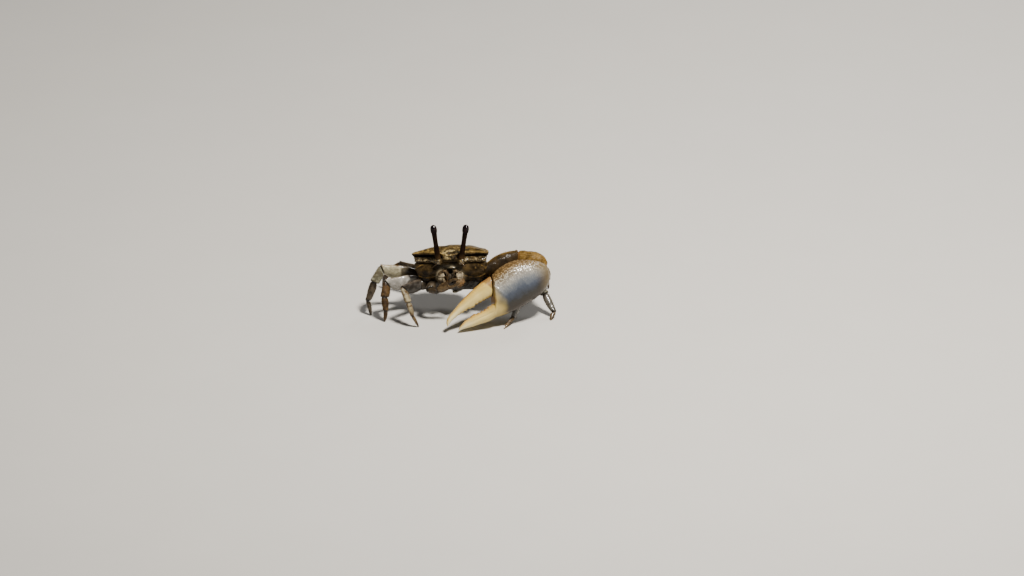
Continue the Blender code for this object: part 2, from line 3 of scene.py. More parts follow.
import bpy
import numpy as np
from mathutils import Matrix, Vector


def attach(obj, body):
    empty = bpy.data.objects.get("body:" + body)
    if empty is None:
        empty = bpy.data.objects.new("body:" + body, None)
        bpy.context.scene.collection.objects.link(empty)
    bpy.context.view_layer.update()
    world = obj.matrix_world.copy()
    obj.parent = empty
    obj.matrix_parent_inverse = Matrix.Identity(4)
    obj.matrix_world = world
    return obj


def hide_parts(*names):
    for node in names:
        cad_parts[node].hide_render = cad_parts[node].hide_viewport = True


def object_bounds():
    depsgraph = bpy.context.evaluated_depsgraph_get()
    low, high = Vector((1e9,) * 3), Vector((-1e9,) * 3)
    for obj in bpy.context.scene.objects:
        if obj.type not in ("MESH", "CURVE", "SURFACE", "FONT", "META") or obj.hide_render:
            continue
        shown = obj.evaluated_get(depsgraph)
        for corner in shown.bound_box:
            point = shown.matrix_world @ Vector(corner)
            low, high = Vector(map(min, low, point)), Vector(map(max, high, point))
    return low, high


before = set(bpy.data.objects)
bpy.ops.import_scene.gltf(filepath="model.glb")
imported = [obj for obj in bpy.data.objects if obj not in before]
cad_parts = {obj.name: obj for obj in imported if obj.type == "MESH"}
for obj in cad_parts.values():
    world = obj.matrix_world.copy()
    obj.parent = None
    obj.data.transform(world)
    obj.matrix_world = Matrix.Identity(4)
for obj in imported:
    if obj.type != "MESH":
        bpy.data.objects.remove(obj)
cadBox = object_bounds()
print("frame loaded:", len(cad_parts), "nodes")

stage = {
    "floorSize": 6.0,
    "floorColour": (0.55, 0.535, 0.505),
    "floorMottle": (0.52, 0.505, 0.475),
    "skyColour": (0.86, 0.87, 0.90, 1.0),
    "skyStrength": 0.10,
    "aim": (0.01496, 0.00201, 0.00523),  # the picture's middle, on the big claw's side
    "elevation": 24.0,
    "distance": 3.33,
    "lens": 400.0,
    "clip": (0.05, 20.0),
    # place over the crab in metres, width, watts, colour
    "lights": {
        "keyLight": ((0.15, -0.10, 0.48), 0.08, 6.0, (1.0, 0.95, 0.87)),
        "rimLight": ((0.20, 0.36, 0.30), 0.14, 0.8, (1.0, 0.98, 0.95)),
        "fillLight": ((0.34, -0.46, 0.16), 0.40, 0.35, (0.90, 0.94, 1.0)),
    },
}


def unit(vectors):
    # each vector divided by its length
    vectors = np.asarray(vectors, float)
    return vectors / np.linalg.norm(vectors, axis=-1, keepdims=True)


def photoCamera():
    # a long lens, level from side to side, looking down on the crab from its front
    camera = bpy.data.objects.new("photoCamera", bpy.data.cameras.new("photoCamera"))
    rise = math.radians(stage["elevation"])
    back = Vector((0.0, -math.cos(rise), math.sin(rise))) * stage["distance"]
    camera.location = Vector(stage["aim"]) + back
    camera.rotation_euler = (math.pi / 2 - rise, 0.0, 0.0)
    camera.data.lens = stage["lens"]
    camera.data.clip_start, camera.data.clip_end = stage["clip"]
    bpy.context.scene.collection.objects.link(camera)
    bpy.context.scene.camera = camera


def studioLights():
    for name, (place, width, watts, colour) in stage["lights"].items():
        lamp = bpy.data.lights.new(name, "AREA")
        lamp.size, lamp.energy, lamp.color = width, watts, colour
        holder = bpy.data.objects.new(name, lamp)
        holder.location = place
        holder.rotation_euler = (-Vector(place)).to_track_quat("-Z", "Y").to_euler()
        bpy.context.scene.collection.objects.link(holder)
    sky = bpy.data.worlds.new("studioSky")
    sky.use_nodes = True
    glow = sky.node_tree.nodes["Background"]
    glow.inputs["Color"].default_value = stage["skyColour"]
    glow.inputs["Strength"].default_value = stage["skyStrength"]
    bpy.context.scene.world = sky


class Wire:
    # one socket of a node tree: sums and products of wires and numbers add Math nodes
    def __init__(self, paint, socket):
        self.paint, self.socket = paint, socket

    def worked(self, operation, *values):
        return self.paint.node("Math", {"operation": operation}, dict(enumerate(values)))

    def __add__(self, other):
        return self.worked("ADD", self, other)

    def __radd__(self, other):
        return self.worked("ADD", other, self)

    def __sub__(self, other):
        return self.worked("SUBTRACT", self, other)

    def __rsub__(self, other):
        return self.worked("SUBTRACT", other, self)

    def __mul__(self, other):
        return self.worked("MULTIPLY", self, other)

    def __rmul__(self, other):
        return self.worked("MULTIPLY", other, self)

    def step(self, low, high):
        # 0 below low, 1 above high, and a smooth rise between
        values = {"Value": self, "From Min": low, "From Max": high}
        return self.paint.node("MapRange", {"interpolation_type": "SMOOTHSTEP"}, values)


class Paint:
    # one material: node() adds any node, and the rest are short ways to the ones used most
    def __init__(self, name):
        self.material = bpy.data.materials.new(name)
        self.material.use_nodes = True
        self.tree = self.material.node_tree
        self.shader = self.tree.nodes["Principled BSDF"]

    def node(self, kind, settings, sockets, out=0):
        made = self.tree.nodes.new("ShaderNode" + kind)
        for key, value in settings.items():
            if key == "stops":
                stops = made.color_ramp.elements
                while len(stops) < len(value):
                    stops.new(1.0)
                for stop, (place, colour) in zip(stops, value):
                    stop.position, stop.color = place, (*colour, 1.0)
            else:
                setattr(made, key, value)
        for key, value in sockets.items():
            self.feed(made.inputs[key], value)
        return Wire(self, made.outputs[out])

    def feed(self, socket, value):
        if isinstance(value, Wire):
            self.tree.links.new(value.socket, socket)
        elif isinstance(value, tuple) and len(value) == 3 and socket.type == "RGBA":
            socket.default_value = (*value, 1.0)
        else:
            socket.default_value = value

    def place(self, turn=(0.0, 0.0, 0.0), stretch=(1.0, 1.0, 1.0)):
        # Object coordinates, turned and stretched
        coords = self.node("TexCoord", {}, {}, "Object")
        return self.node("Mapping", {}, {"Vector": coords, "Rotation": turn, "Scale": stretch})

    def mask(self, name):
        # a number that the mesh carries at its points
        return self.node("Attribute", {"attribute_name": name}, {}, "Fac")

    def noise(self, place, scale, detail=3.0, roughness=0.55):
        values = {"Vector": place, "Scale": scale, "Detail": detail, "Roughness": roughness}
        return self.node("TexNoise", {}, values)

    def cells(self, place, scale):
        return self.node("TexVoronoi", {}, {"Vector": place, "Scale": scale})

    def warped(self, place, scale, amount):
        # the place pushed about by a coloured noise, so that a pattern curls
        push = self.node("TexNoise", {}, {"Vector": place, "Scale": scale, "Detail": 2.0}, 1)
        centred = self.node("VectorMath", {"operation": "SUBTRACT"}, {0: push, 1: (0.5, 0.5, 0.5)})
        far = self.node("VectorMath", {"operation": "SCALE"}, {0: centred, "Scale": amount})
        return self.node("VectorMath", {"operation": "ADD"}, {0: place, 1: far})

    def mix(self, share, first, second):
        return self.node("Mix", {"data_type": "RGBA"}, {0: share, 6: first, 7: second}, 2)

    def layered(self, colour, *coats):
        # each coat is a share and a colour, and lies over those before it
        for share, over in coats:
            colour = self.mix(share, colour, over)
        return colour

    def ramp(self, value, stops):
        return self.node("ValToRGB", {"stops": stops}, {0: value})

    def finished(self, colour, roughness, relief=None, coat=(0.0, 0.03), specular=0.5):
        # relief is a height, how many metres it stands for and its strength; coat is the weight
        # and roughness of the clear layer
        values = {"Base Color": colour, "Roughness": roughness, "Coat Weight": coat[0],
                  "Coat Roughness": coat[1], "Specular IOR Level": specular}
        if relief:
            bumps = dict(zip(("Height", "Distance", "Strength"), relief))
            values["Normal"] = self.node("Bump", {}, bumps)
        for name, value in values.items():
            self.feed(self.shader.inputs[name], value)
        return self.material


def paleFloor():
    # a wide plain sheet, a very little mottled
    half = stage["floorSize"] / 2
    sheet = bpy.data.meshes.new("studioFloor")
    corners = [(-half, -half, 0), (half, -half, 0), (half, half, 0), (-half, half, 0)]
    sheet.from_pydata(corners, [], [(0, 1, 2, 3)])
    floor = bpy.data.objects.new("studioFloor", sheet)
    bpy.context.scene.collection.objects.link(floor)
    paint = Paint("floorCard")
    mottle = paint.noise(paint.place(), 40.0, 4.0)
    shade = paint.mix(mottle, stage["floorColour"], stage["floorMottle"])
    sheet.materials.append(paint.finished(shade, 0.75))


photoCamera()
studioLights()
paleFloor()
print("camera, lights and floor are up")


# Millimetre frames: how the body is carried, and where the big claw lies
stance = {
    "centre": np.array([2.62, -2.01, 0.0]),
    "bodyPlace": np.array([0.7, 0.0, 17.5]),
    "bodyTurn": (-15.0, -5.0, -9.0),  # pitch, roll and yaw in degrees
    "clawHeel": np.array([27.5, -7.4, 11.02]),
    "clawAim": np.array([-0.8635, -0.4143, -0.2841]),
    "clawFaces": np.array([0.0, -0.9135, 0.4067]),
    "gap": 0.3,
    "margin": 0.004,  # kept from the sides of the solids' box
    "capRings": 6,
}
lowCorner, highCorner = (np.array(corner) * 1000 + stance["centre"] for corner in cadBox)


def turning(axis, degrees):
    # a turn about one axis, as a matrix that acts on columns
    c, s = math.cos(math.radians(degrees)), math.sin(math.radians(degrees))
    one, two = [i for i in range(3) if i != axis]
    turn = np.eye(3)
    turn[one, one] = turn[two, two] = c
    turn[one, two], turn[two, one] = (s, -s) if axis == 1 else (-s, s)
    return turn


pitch, roll, yaw = stance["bodyTurn"]
bodyTurn = turning(2, yaw) @ turning(1, roll) @ turning(0, pitch)
clawAim = unit(stance["clawAim"])
clawFace = unit(stance["clawFaces"] - clawAim * (stance["clawFaces"] @ clawAim))
clawTurn = np.column_stack([clawAim, np.cross(clawAim, clawFace), -clawFace])


def fromBody(points):
    return np.asarray(points, float) @ bodyTurn.T + stance["bodyPlace"]


def fromClaw(points):
    return np.asarray(points, float) @ clawTurn.T + stance["clawHeel"]


def riseTo(low, high, values):
    # the same smooth rise as Wire.step, on arrays
    share = np.clip((np.asarray(values, float) - low) / (high - low), 0, 1)
    return share * share * (3 - 2 * share)


def hump(values, middle, width):
    # 1 at the middle and falling to both sides: exp(-((value - middle) / width)^2)
    return np.exp(-(((values - middle) / width) ** 2))


def hermite(t, here, ahead, slopeHere, slopeAhead):
    # (2t^3 - 3t^2 + 1) a + (t^3 - 2t^2 + t) a' + (3t^2 - 2t^3) b + (t^3 - t^2) b'
    start = (2 * t**3 - 3 * t**2 + 1) * here + (t**3 - 2 * t**2 + t) * slopeHere
    return start + (3 * t**2 - 2 * t**3) * ahead + (t**3 - t**2) * slopeAhead


def through(knots, values, places):
    # a cubic between each two knots, whose slope at a knot is that of its neighbours' chord
    knots, values, places = (np.asarray(part, float) for part in (knots, values, places))
    flat = values.reshape(len(knots), -1)
    slopes = np.gradient(flat, knots, axis=0)
    i = np.clip(np.searchsorted(knots, places) - 1, 0, len(knots) - 2)
    width = (knots[i + 1] - knots[i])[:, None]
    t = ((places - knots[i]) / width[:, 0])[:, None]
    joined = hermite(t, flat[i], flat[i + 1], width * slopes[i], width * slopes[i + 1])
    return joined.reshape(len(places), *values.shape[1:])


def scattered(cells, seed):
    # three numbers from 0 to 1 for each whole-numbered cell: the fraction of a large sine
    mixers = np.array([[127.1, 311.7, 74.7], [269.5, 183.3, 246.1], [113.5, 271.9, 124.6]])
    return np.modf(np.abs(np.sin(cells @ mixers + seed) * 43758.5453))[0]


def beadHeight(points, size, seed=1.0, full=0.55):
    # a round bead in each jittered cell: 1 - (distance / full)^2 from the nearest bead's middle
    scaled = points / size
    base = np.floor(scaled)
    nearest = np.full(points.shape[:-1], 9.0)
    for shift in np.ndindex(3, 3, 3):
        cell = base + np.array(shift) - 1
        middle = cell + 0.2 + 0.6 * scattered(cell, seed)
        nearest = np.minimum(nearest, np.linalg.norm(scaled - middle, axis=-1))
    return np.clip(1 - (nearest / full) ** 2, 0, 1)


def waves(points, size, seed=3.0):
    # value noise from -0.5 to 0.5: eight corners' numbers, blended by t^2 (3 - 2t) on each axis
    scaled = points / size
    base = np.floor(scaled)
    part = scaled - base
    part = part * part * (3 - 2 * part)
    total = np.zeros(points.shape[:-1])
    for shift in np.ndindex(2, 2, 2):
        weight = np.prod(np.where(np.array(shift) == 1, part, 1 - part), axis=-1)
        total += weight * scattered(base + np.array(shift), seed)[..., 0]
    return total - 0.5


def gridNormals(grid):
    # the cross product of the step along the rows and the step round them
    along = np.gradient(grid, axis=0)
    around = np.roll(grid, -1, axis=1) - np.roll(grid, 1, axis=1)
    across = np.cross(around, along)
    length = np.linalg.norm(across, axis=-1, keepdims=True)
    across = across / np.maximum(length, 1e-9)
    outward = ((grid - grid.mean(axis=(0, 1))) * across).sum()
    return across if outward > 0 else -across


def raised(grid, lift):
    # the grid moved along its normals
    return grid + gridNormals(grid) * np.broadcast_to(lift, grid.shape[:2])[..., None]


def roundAngles(columns):
    return (np.arange(columns) + 0.5) * 2 * math.pi / columns


def ovals(centres, normals, thickAxes, wides, thicks, columns, squareness):
    # superellipse rings: x = w sgn(cos a)|cos a|^(2/n), y = t sgn(sin a)|sin a|^(2/n)
    normals = unit(normals)
    wideWays = unit(np.cross(thickAxes, normals))
    thickWays = np.cross(normals, wideWays)
    angles = roundAngles(columns)
    x = np.sign(np.cos(angles)) * np.abs(np.cos(angles)) ** (2 / squareness)
    y = np.sign(np.sin(angles)) * np.abs(np.sin(angles)) ** (2 / squareness)
    flat = wides[:, None, None] * x[None, :, None] * wideWays[:, None, :]
    deep = thicks[:, None, None] * y[None, :, None] * thickWays[:, None, :]
    return centres[:, None, :] + flat + deep


def hornGrid(path, wide, thick, rows, columns, thickAxis=(0, 0, 1), squareness=2.2, lean=None):
    # Rings along the cubic through the path, whose sizes and lean are cubics too. Gives the
    # grid, the place along from 0 to 1, and each column's angle from the wide way.
    knots = np.arange(len(path))
    places = np.linspace(0, len(path) - 1, rows)
    centres = through(knots, path, places)
    wides = np.maximum(through(knots, wide, places), 0.05)
    thicks = np.maximum(through(knots, thick, places), 0.05)
    lean = np.zeros(len(path)) if lean is None else lean
    leans = np.radians(through(knots, lean, places))[:, None]
    tangents = np.gradient(centres, axis=0)
    axis = unit(thickAxis)
    normals = tangents * np.cos(leans) + np.cross(axis, tangents) * np.sin(leans)
    axes = np.broadcast_to(axis, centres.shape)
    grid = ovals(centres, normals, axes, wides, thicks, columns, squareness)
    return grid, np.linspace(0, 1, rows)[:, None], roundAngles(columns)[None, :]


def domed(grid, first, last):
    # more rings at both ends: each shrinks by cos q and moves out by the bulge times sin q
    turns = np.linspace(0, math.pi / 2, stance["capRings"] + 1)[1:]
    caps = []
    for ring, inner, bulge in ((grid[0], grid[2], first), (grid[-1], grid[-3], last)):
        middle = ring.mean(axis=0)
        way = unit(middle - inner.mean(axis=0))
        size = np.maximum(np.cos(turns), 0.02)[:, None, None]
        caps.append(middle + (ring - middle) * size + way * bulge * np.sin(turns)[:, None, None])
    return np.concatenate([caps[0][::-1], grid, caps[1]])


def maskedMesh(name, points, faces, masks):
    # a smooth mesh, brought from millimetres over the floor to metres round the box's middle;
    # each mask has a number for every point
    mesh = bpy.data.meshes.new(name)
    mesh.from_pydata(((points - stance["centre"]) * 0.001).tolist(), [], faces)
    mesh.shade_smooth()
    for mask, values in masks.items():
        layer = mesh.attributes.new(mask, "FLOAT", "POINT")
        layer.data.foreach_set("value", values.astype(np.float32))
    return mesh


def closedMesh(name, grid, masks):
    # a tube of quads over the grid, whose ends are fans; faces turn outwards where the volume,
    # the sum of the corners' triple products, comes out above zero
    rows, columns = grid.shape[:2]
    grid = np.clip(grid, lowCorner + stance["margin"], highCorner - stance["margin"])
    ends = grid[[0, -1]].mean(axis=1)
    points = np.concatenate([grid.reshape(-1, 3), ends])
    row, column = np.meshgrid(np.arange(rows - 1), np.arange(columns), indexing="ij")
    here, after = row * columns + column, row * columns + (column + 1) % columns
    quads = np.stack([here, after, after + columns, here + columns], axis=-1).reshape(-1, 4)
    near, beyond = np.arange(columns), (np.arange(columns) + 1) % columns
    last, pole = (rows - 1) * columns, np.full(columns, rows * columns)
    first = np.stack([beyond, near, pole], axis=-1)
    final = np.stack([last + near, last + beyond, pole + 1], axis=-1)
    corners = points[np.concatenate([quads[:, :3], quads[:, [0, 2, 3]], first, final])]
    volume = np.einsum("ij,ij->", corners[:, 0], np.cross(corners[:, 1], corners[:, 2]))
    way = 1 if volume > 0 else -1
    faces = sum((part[:, ::way].tolist() for part in (quads, first, final)), [])
    spread = {mask: np.broadcast_to(values, (rows, columns)) for mask, values in masks.items()}
    whole = {mask: np.append(values, values[[0, -1]].mean(axis=1)) for mask, values in spread.items()}
    return maskedMesh(name, points, faces, whole)


def carried(values, shape):
    # a mask for the domed grid: the end rows' values carried on over the caps
    values = np.broadcast_to(values, shape)
    caps = (np.repeat(values[end], stance["capRings"], 0) for end in (slice(0, 1), slice(-1, None)))
    return np.concatenate([next(caps), values, next(caps)])


def domedMesh(name, grid, masks, first, last, carry=np.asarray):
    # the grid with domes on its ends; carry is the frame that it is made in
    masks = {mask: carried(values, grid.shape[:2]) for mask, values in masks.items()}
    return closedMesh(name, carry(domed(grid, first, last)), masks)


def piece(mesh, material, slot, *stands):
    # one object of the mesh's name, in place of the nodes that it stands for
    obj = bpy.data.objects.new(mesh.name, mesh)
    bpy.context.scene.collection.objects.link(obj)
    mesh.materials.append(material)
    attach(obj, "root")
    if stands:
        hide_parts(*stands)


# Joints in millimetres: hips in the body's frame, the others over the floor
legPlan = {
    "leg_right_1": ((-7.2, -3.1, -9.2), (-14.1, -12.0, 10.2), (-12.6, -14.4, 6.9), (-11.4, -15.9, 3.4),
                    (-9.6, -16.3, 0.0)),
    "leg_right_2": ((-7.5, -0.5, -9.0), (-19.0, -7.6, 9.9), (-19.6, -9.9, 6.6), (-19.3, -11.6, 3.0),
                    (-19.6, -12.6, 0.0)),
    "leg_right_3": ((-6.7, 1.9, -9.0), (-20.5, -2.4, 12.3), (-22.7, -4.6, 9.0), (-24.5, -6.5, 4.0),
                    (-23.6, -8.2, 0.0)),
    "leg_right_4": ((-5.2, 3.9, -9.0), (-15.2, 9.0, 8.6), (-17.9, 10.4, 6.4), (-20.0, 11.8, 3.0),
                    (-20.4, 12.2, 0.0)),
    "leg_left_1": ((7.4, -2.3, -9.4), (17.0, -4.0, 6.6), (19.9, -6.9, 4.4), (17.9, -13.6, 1.8),
                   (15.2, -17.7, 0.0)),
    "leg_left_2": ((7.4, 0.0, -9.2), (23.4, -0.6, 9.6), (27.25, -5.0, 5.4), (29.8, -9.1, 1.6),
                   (28.9, -11.6, 0.0)),
    "leg_left_3": ((6.5, 2.2, -9.2), (20.8, 7.6, 9.6), (24.4, 9.2, 7.8), (27.7, 10.9, 3.9),
                   (28.4, 11.3, 0.0)),
    "leg_left_4": ((5.0, 4.0, -9.2), (15.6, 11.4, 7.8), (18.3, 13.8, 6.2), (20.6, 16.0, 3.0),
                   (21.2, 16.6, 0.0)),
}
legShape = {
    "size": {"1": 0.86, "2": 1.0, "3": 1.04, "4": 0.84},
    # share of the length, half width, half thickness, bow to the outside
    "merus": ((0, 1.0, 0.8, 0), (0.10, 1.15, 0.85, 0), (0.20, 1.2, 0.8, 0), (0.34, 1.85, 0.95, 0),
              (0.58, 2.25, 1.05, 0.1), (0.80, 1.9, 0.95, 0.15), (1.0, 1.5, 0.85, 0.05)),
    "carpus": ((0, 1.15, 0.7, 0), (0.42, 1.3, 0.85, 0.15), (0.75, 1.35, 0.85, 0.1),
               (1.0, 1.2, 0.75, 0)),
    "propodus": ((0, 1.0, 0.65, 0), (0.3, 1.12, 0.7, 0.05), (0.7, 0.95, 0.62, 0.05),
                 (1.0, 0.75, 0.55, 0)),
    "dactyl": ((0, 0.62, 0.5, 0), (0.3, 0.62, 0.45, 0.08), (0.7, 0.45, 0.36, 0.06),
               (1.0, 0.16, 0.14, 0)),
    "step": 0.14,  # millimetres between rings
    "columns": 56,
    "squareness": 2.05,
    "wrinkle": 0.035,
    "beads": 0.07,
}
legArticles = ("merus", "carpus", "propodus", "dactyl")
# The rings past an article's end, in millimetres, then the share of its size at places from there
articleEnds = {
    "neck": ((-0.7, -0.55, -0.35, -0.15), (-0.7, -0.5, -0.1, 0.0, 0.35), (0.3, 0.74, 0.84, 0.92, 1.0)),
    "root": ((-0.12, -0.06), (-0.12, 0, 0.3), (0.4, 0.9, 1.0)),
    "lip": ((0.07, 0.1), (-0.9, -0.35, 0.0, 0.07, 0.1), (1.0, 1.06, 1.0, 0.86, 0.5)),
    "tip": ((0.0, 0.0), (-0.4, 0.0), (1.0, 0.55)),  # the ring is there three times, for a crisp rim
}


def limbSkins(joints, profiles, thickAxes, shape, lastNormal=None):
    # One grid for each article. A ring's plane turns from the joint's mitre to square on the
    # article, and its size is the profile's cubic. The neck reaches into the article before it.
    # The mask edge is 1 along both rims, and joint is 1 at both ends.
    joints = np.asarray(joints, float)
    ways = unit(np.diff(joints, axis=0))
    lastPlane = ways[-1] if lastNormal is None else unit(lastNormal)
    planes = [ways[0], *unit(ways[:-1] + ways[1:]), lastPlane]
    edge = np.abs(np.cos(roundAngles(shape["columns"]))) ** 6
    made = []
    for i, profile in enumerate(profiles):
        knots, wides, thicks, bows = np.array(profile).T
        final = i == len(profiles) - 1
        firstRings, *necking = articleEnds["neck" if i else "root"]
        lastRings, *lipping = articleEnds["tip" if final and shape.get("pointed", True) else "lip"]
        start = joints[i] + (planes[i] * stance["gap"] / 2 if i else 0)
        end = joints[i + 1] - (0 if final else planes[i + 1] * stance["gap"] / 2)
        length = np.linalg.norm(end - start)
        share = np.linspace(0, 1, max(16, int(length / shape["step"])))
        firstRings, lastRings = np.array(firstRings) / length, 1 + np.array(lastRings) / length
        reach = np.concatenate([firstRings, share, lastRings])
        inside = np.clip(reach, 0, 1)
        past, left = reach * length, (1 - reach) * length
        size = np.interp(past, *necking) * np.interp(-left, *lipping)
        outward = np.cross(thickAxes[i], ways[i])
        bow = outward * through(knots, bows, inside)[:, None]
        turnIn = (1 - riseTo(0, 0.22, reach))[:, None]
        turnOut = riseTo(0.78, 1, reach)[:, None]
        normals = ways[i] + (planes[i] - ways[i]) * turnIn + (planes[i + 1] - ways[i]) * turnOut
        centres = start + (end - start) * reach[:, None] + bow
        axes = np.broadcast_to(thickAxes[i], centres.shape)
        wide, thick = through(knots, wides, inside) * size, through(knots, thicks, inside) * size
        grid = ovals(centres, normals, axes, wide, thick, shape["columns"], shape["squareness"])
        body = riseTo(0.0, 0.3, past) * riseTo(0.0, 0.2, left)
        joint = np.maximum(1 - body, 1 - riseTo(-0.1, 0.15, past)) if i else 1 - body
        beads = beadHeight(grid, 0.42, seed=2.0 + i) * edge * shape["beads"]
        wrinkles = waves(grid, 0.9, seed=5.0 + i) * (1 - edge) * 2 * shape["wrinkle"]
        grid = raised(grid, (beads + wrinkles) * body[:, None])
        made.append((grid, {"along": reach[:, None], "edge": edge, "joint": joint[:, None]}))
    return made


def thinWays(joints):
    # the way each article is thin: the first stands upright, the others in the folding plane
    joints = np.asarray(joints, float)
    upright = unit(np.cross(joints[1] - joints[0], (0, 0, -1)))
    folded = unit(np.cross(joints[1] - joints[0], joints[3] - joints[0]))
    return [upright if upright @ folded > 0 else -upright, folded, folded, folded]


# Light, main, dark and edge colours of the shells, then how much is banded and how wet it is
shellTints = {
    "legCream": ((0.52, 0.475, 0.32), (0.28, 0.25, 0.16), (0.035, 0.024, 0.012), (0.14, 0.075, 0.025),
                 0.15, 0.5),
    "legGrey": ((0.42, 0.40, 0.36), (0.23, 0.215, 0.19), (0.045, 0.038, 0.030), (0.17, 0.115, 0.06),
                0.0, 0.8),
    "legOlive": ((0.25, 0.24, 0.17), (0.075, 0.068, 0.042), (0.009, 0.007, 0.004), (0.06, 0.038, 0.016),
                 0.25, 0.5),
    "legBanded": ((0.28, 0.235, 0.140), (0.13, 0.100, 0.055), (0.020, 0.012, 0.006),
                  (0.070, 0.042, 0.020), 1.0, 0.5),
    "legAsh": ((0.090, 0.083, 0.068), (0.037, 0.033, 0.026), (0.014, 0.011, 0.008), (0.09, 0.060, 0.030),
               0.1, 0.3),
    "legSlate": ((0.060, 0.053, 0.046), (0.018, 0.015, 0.012), (0.008, 0.006, 0.005),
                 (0.07, 0.048, 0.028), 0.0, 0.5),
    "legBrown": ((0.085, 0.048, 0.018), (0.028, 0.015, 0.006), (0.009, 0.006, 0.004),
                 (0.05, 0.026, 0.010), 0.3, 0.4),
    "legDark": ((0.060, 0.046, 0.030), (0.018, 0.013, 0.008), (0.006, 0.005, 0.004),
                (0.05, 0.032, 0.015), 0.0, 0.5),
    "mouthPlate": ((0.44, 0.37, 0.245), (0.080, 0.056, 0.030), (0.012, 0.008, 0.005),
                   (0.06, 0.033, 0.014), 0.0, 0.6),
    "armBrown": ((0.115, 0.076, 0.036), (0.030, 0.018, 0.008), (0.008, 0.005, 0.003),
                 (0.06, 0.035, 0.014), 0.2, 0.5),
}


def legShell(name):
    # Marbled patches on a wet shell, darker at the joints and along the rims, with painted shade
    # at the root near the body and fine pits. Bands are noise squeezed along the leg.
    light, main, dark, rim, banded, wet = shellTints[name]
    paint = Paint(name)
    place = paint.place()
    patches = paint.noise(place, 620.0, 4.0, 0.6)
    streaks = paint.noise(paint.place(stretch=(1.0, 1.0, 2.6)), 900.0, 3.0, 0.65)
    specks = paint.cells(place, 2600.0)
    bands = 0.0
    if banded:
        squeezed = paint.warped(paint.place(stretch=(0.45, 0.45, 1.0)), 900.0, 0.0009)
        bands = paint.noise(squeezed, 620.0, 4.0, 0.6).step(0.49, 0.62) * banded
    colour = paint.layered(
        main,
        (patches.step(0.40, 0.64), light),
        (streaks.step(0.54, 0.72) * 0.8, dark),
        (bands, rim),
        (paint.mask("edge") * streaks.step(0.3, 0.6) * 0.75, rim),
        # the merus darker towards the body: painted shade, on leg_right_3 the carapace's shadow
        ((paint.mask("root") + (patches - 0.5) * 0.7).step(0.28, 0.72) * 0.92, dark),
        (paint.mask("joint") * 0.85, dark),
        (paint.mask("tan") * streaks.step(0.2, 0.6), (0.36, 0.20, 0.08)),
        ((1 - specks.step(0.1, 0.28)) * 0.16, light),
    )
    height = patches * 0.4 + specks * 0.5 + streaks * 0.3
    rough = 0.34 - wet * 0.16 + patches * 0.22 + paint.mask("joint") * 0.15
    return paint.finished(colour, rough, (height, 0.00006, 0.8), (wet * 0.7, 0.06), 0.16)


legShells = {name: legShell(name) for name in shellTints}
legColours = {  # merus, carpus, propodus, dactyl
    "leg_right_1": ("legSlate", "legBanded", "legBanded", "armBrown"),
    "leg_right_2": ("legGrey", "legBrown", "legBrown", "legBrown"),
    "leg_right_3": ("legCream", "legOlive", "legDark", "legDark"),
    "leg_right_4": ("legDark", "legBrown", "legBrown", "legBrown"),
    "leg_left_1": ("legDark", "legDark", "legGrey", "armBrown"),
    "leg_left_2": ("legDark", "legOlive", "legAsh", "armBrown"),
    "leg_left_3": ("legDark", "legBrown", "legOlive", "legBrown"),
    "leg_left_4": ("legDark", "legBrown", "legBrown", "legBrown"),
}
paintedRootShade = {"leg_right_3": 0.66, "leg_right_2": 0.22}  # share of the merus painted dark as shade near the body
basis = {  # the short basal segment round each merus, from the hip on
    "reach": (0.6, 1.5, 2.6, 3.6, 4.3),
    "wide": np.array((1.0, 1.75, 1.95, 1.75, 1.35)),
    "thick": np.array((0.9, 1.45, 1.6, 1.4, 1.05)),
    "rows": 44, "columns": 56, "squareness": 2.1,
}
bristle = {
    # millimetres between roots along an edge, shortest, longest, lean to the article's far end
    "leg": (0.5, 0.35, 0.85, 0.9),
    "arm": (0.7, 0.3, 0.6, 0.7),
    "hand": (0.3, 0.25, 0.5, 1.1),
    "mouth": (0.22, 0.3, 0.6, 0.5),
    "radius": 0.035,
    "sunk": 0.03,
    "margin": 0.02,  # kept from the sides of the solids' box
}


def bristleMesh(name, roots, ways, lengths):
    # Each is three triangles round and two long, bent a little down: middle = root + 0.55 L way,
    # tip = root + L way - 0.12 L up
    ways = unit(ways)
    side = unit(np.cross(ways, np.where(np.abs(ways[:, 2:]) > 0.9, (1.0, 0, 0), (0, 0, 1.0))))
    other = np.cross(ways, side)
    turns = np.arange(3)[None, :, None] * 2 * math.pi / 3
    ring = (np.cos(turns) * side[:, None] + np.sin(turns) * other[:, None]) * bristle["radius"]
    middle = (roots + ways * lengths[:, None] * 0.55)[:, None] + ring * 0.7
    tip = roots + ways * lengths[:, None] - np.array([0, 0, 0.12]) * lengths[:, None]
    points = np.concatenate([roots[:, None] + ring, middle, tip[:, None]], axis=1)
    low, high = lowCorner + bristle["margin"], highCorner - bristle["margin"]
    points = points[((points > low) & (points < high)).all(axis=(1, 2))]
    corners = [(2, 1, 0), (0, 1, 4, 3), (1, 2, 5, 4), (2, 0, 3, 5), (3, 4, 6), (4, 5, 6), (5, 3, 6)]
    faces = [[7 * i + corner for corner in face] for i in range(len(points)) for face in corners]
    share = np.tile([0, 0, 0, 0.55, 0.55, 0.55, 1.0], len(points))
    return maskedMesh(name, points.reshape(-1, 3), faces, {"along": share})


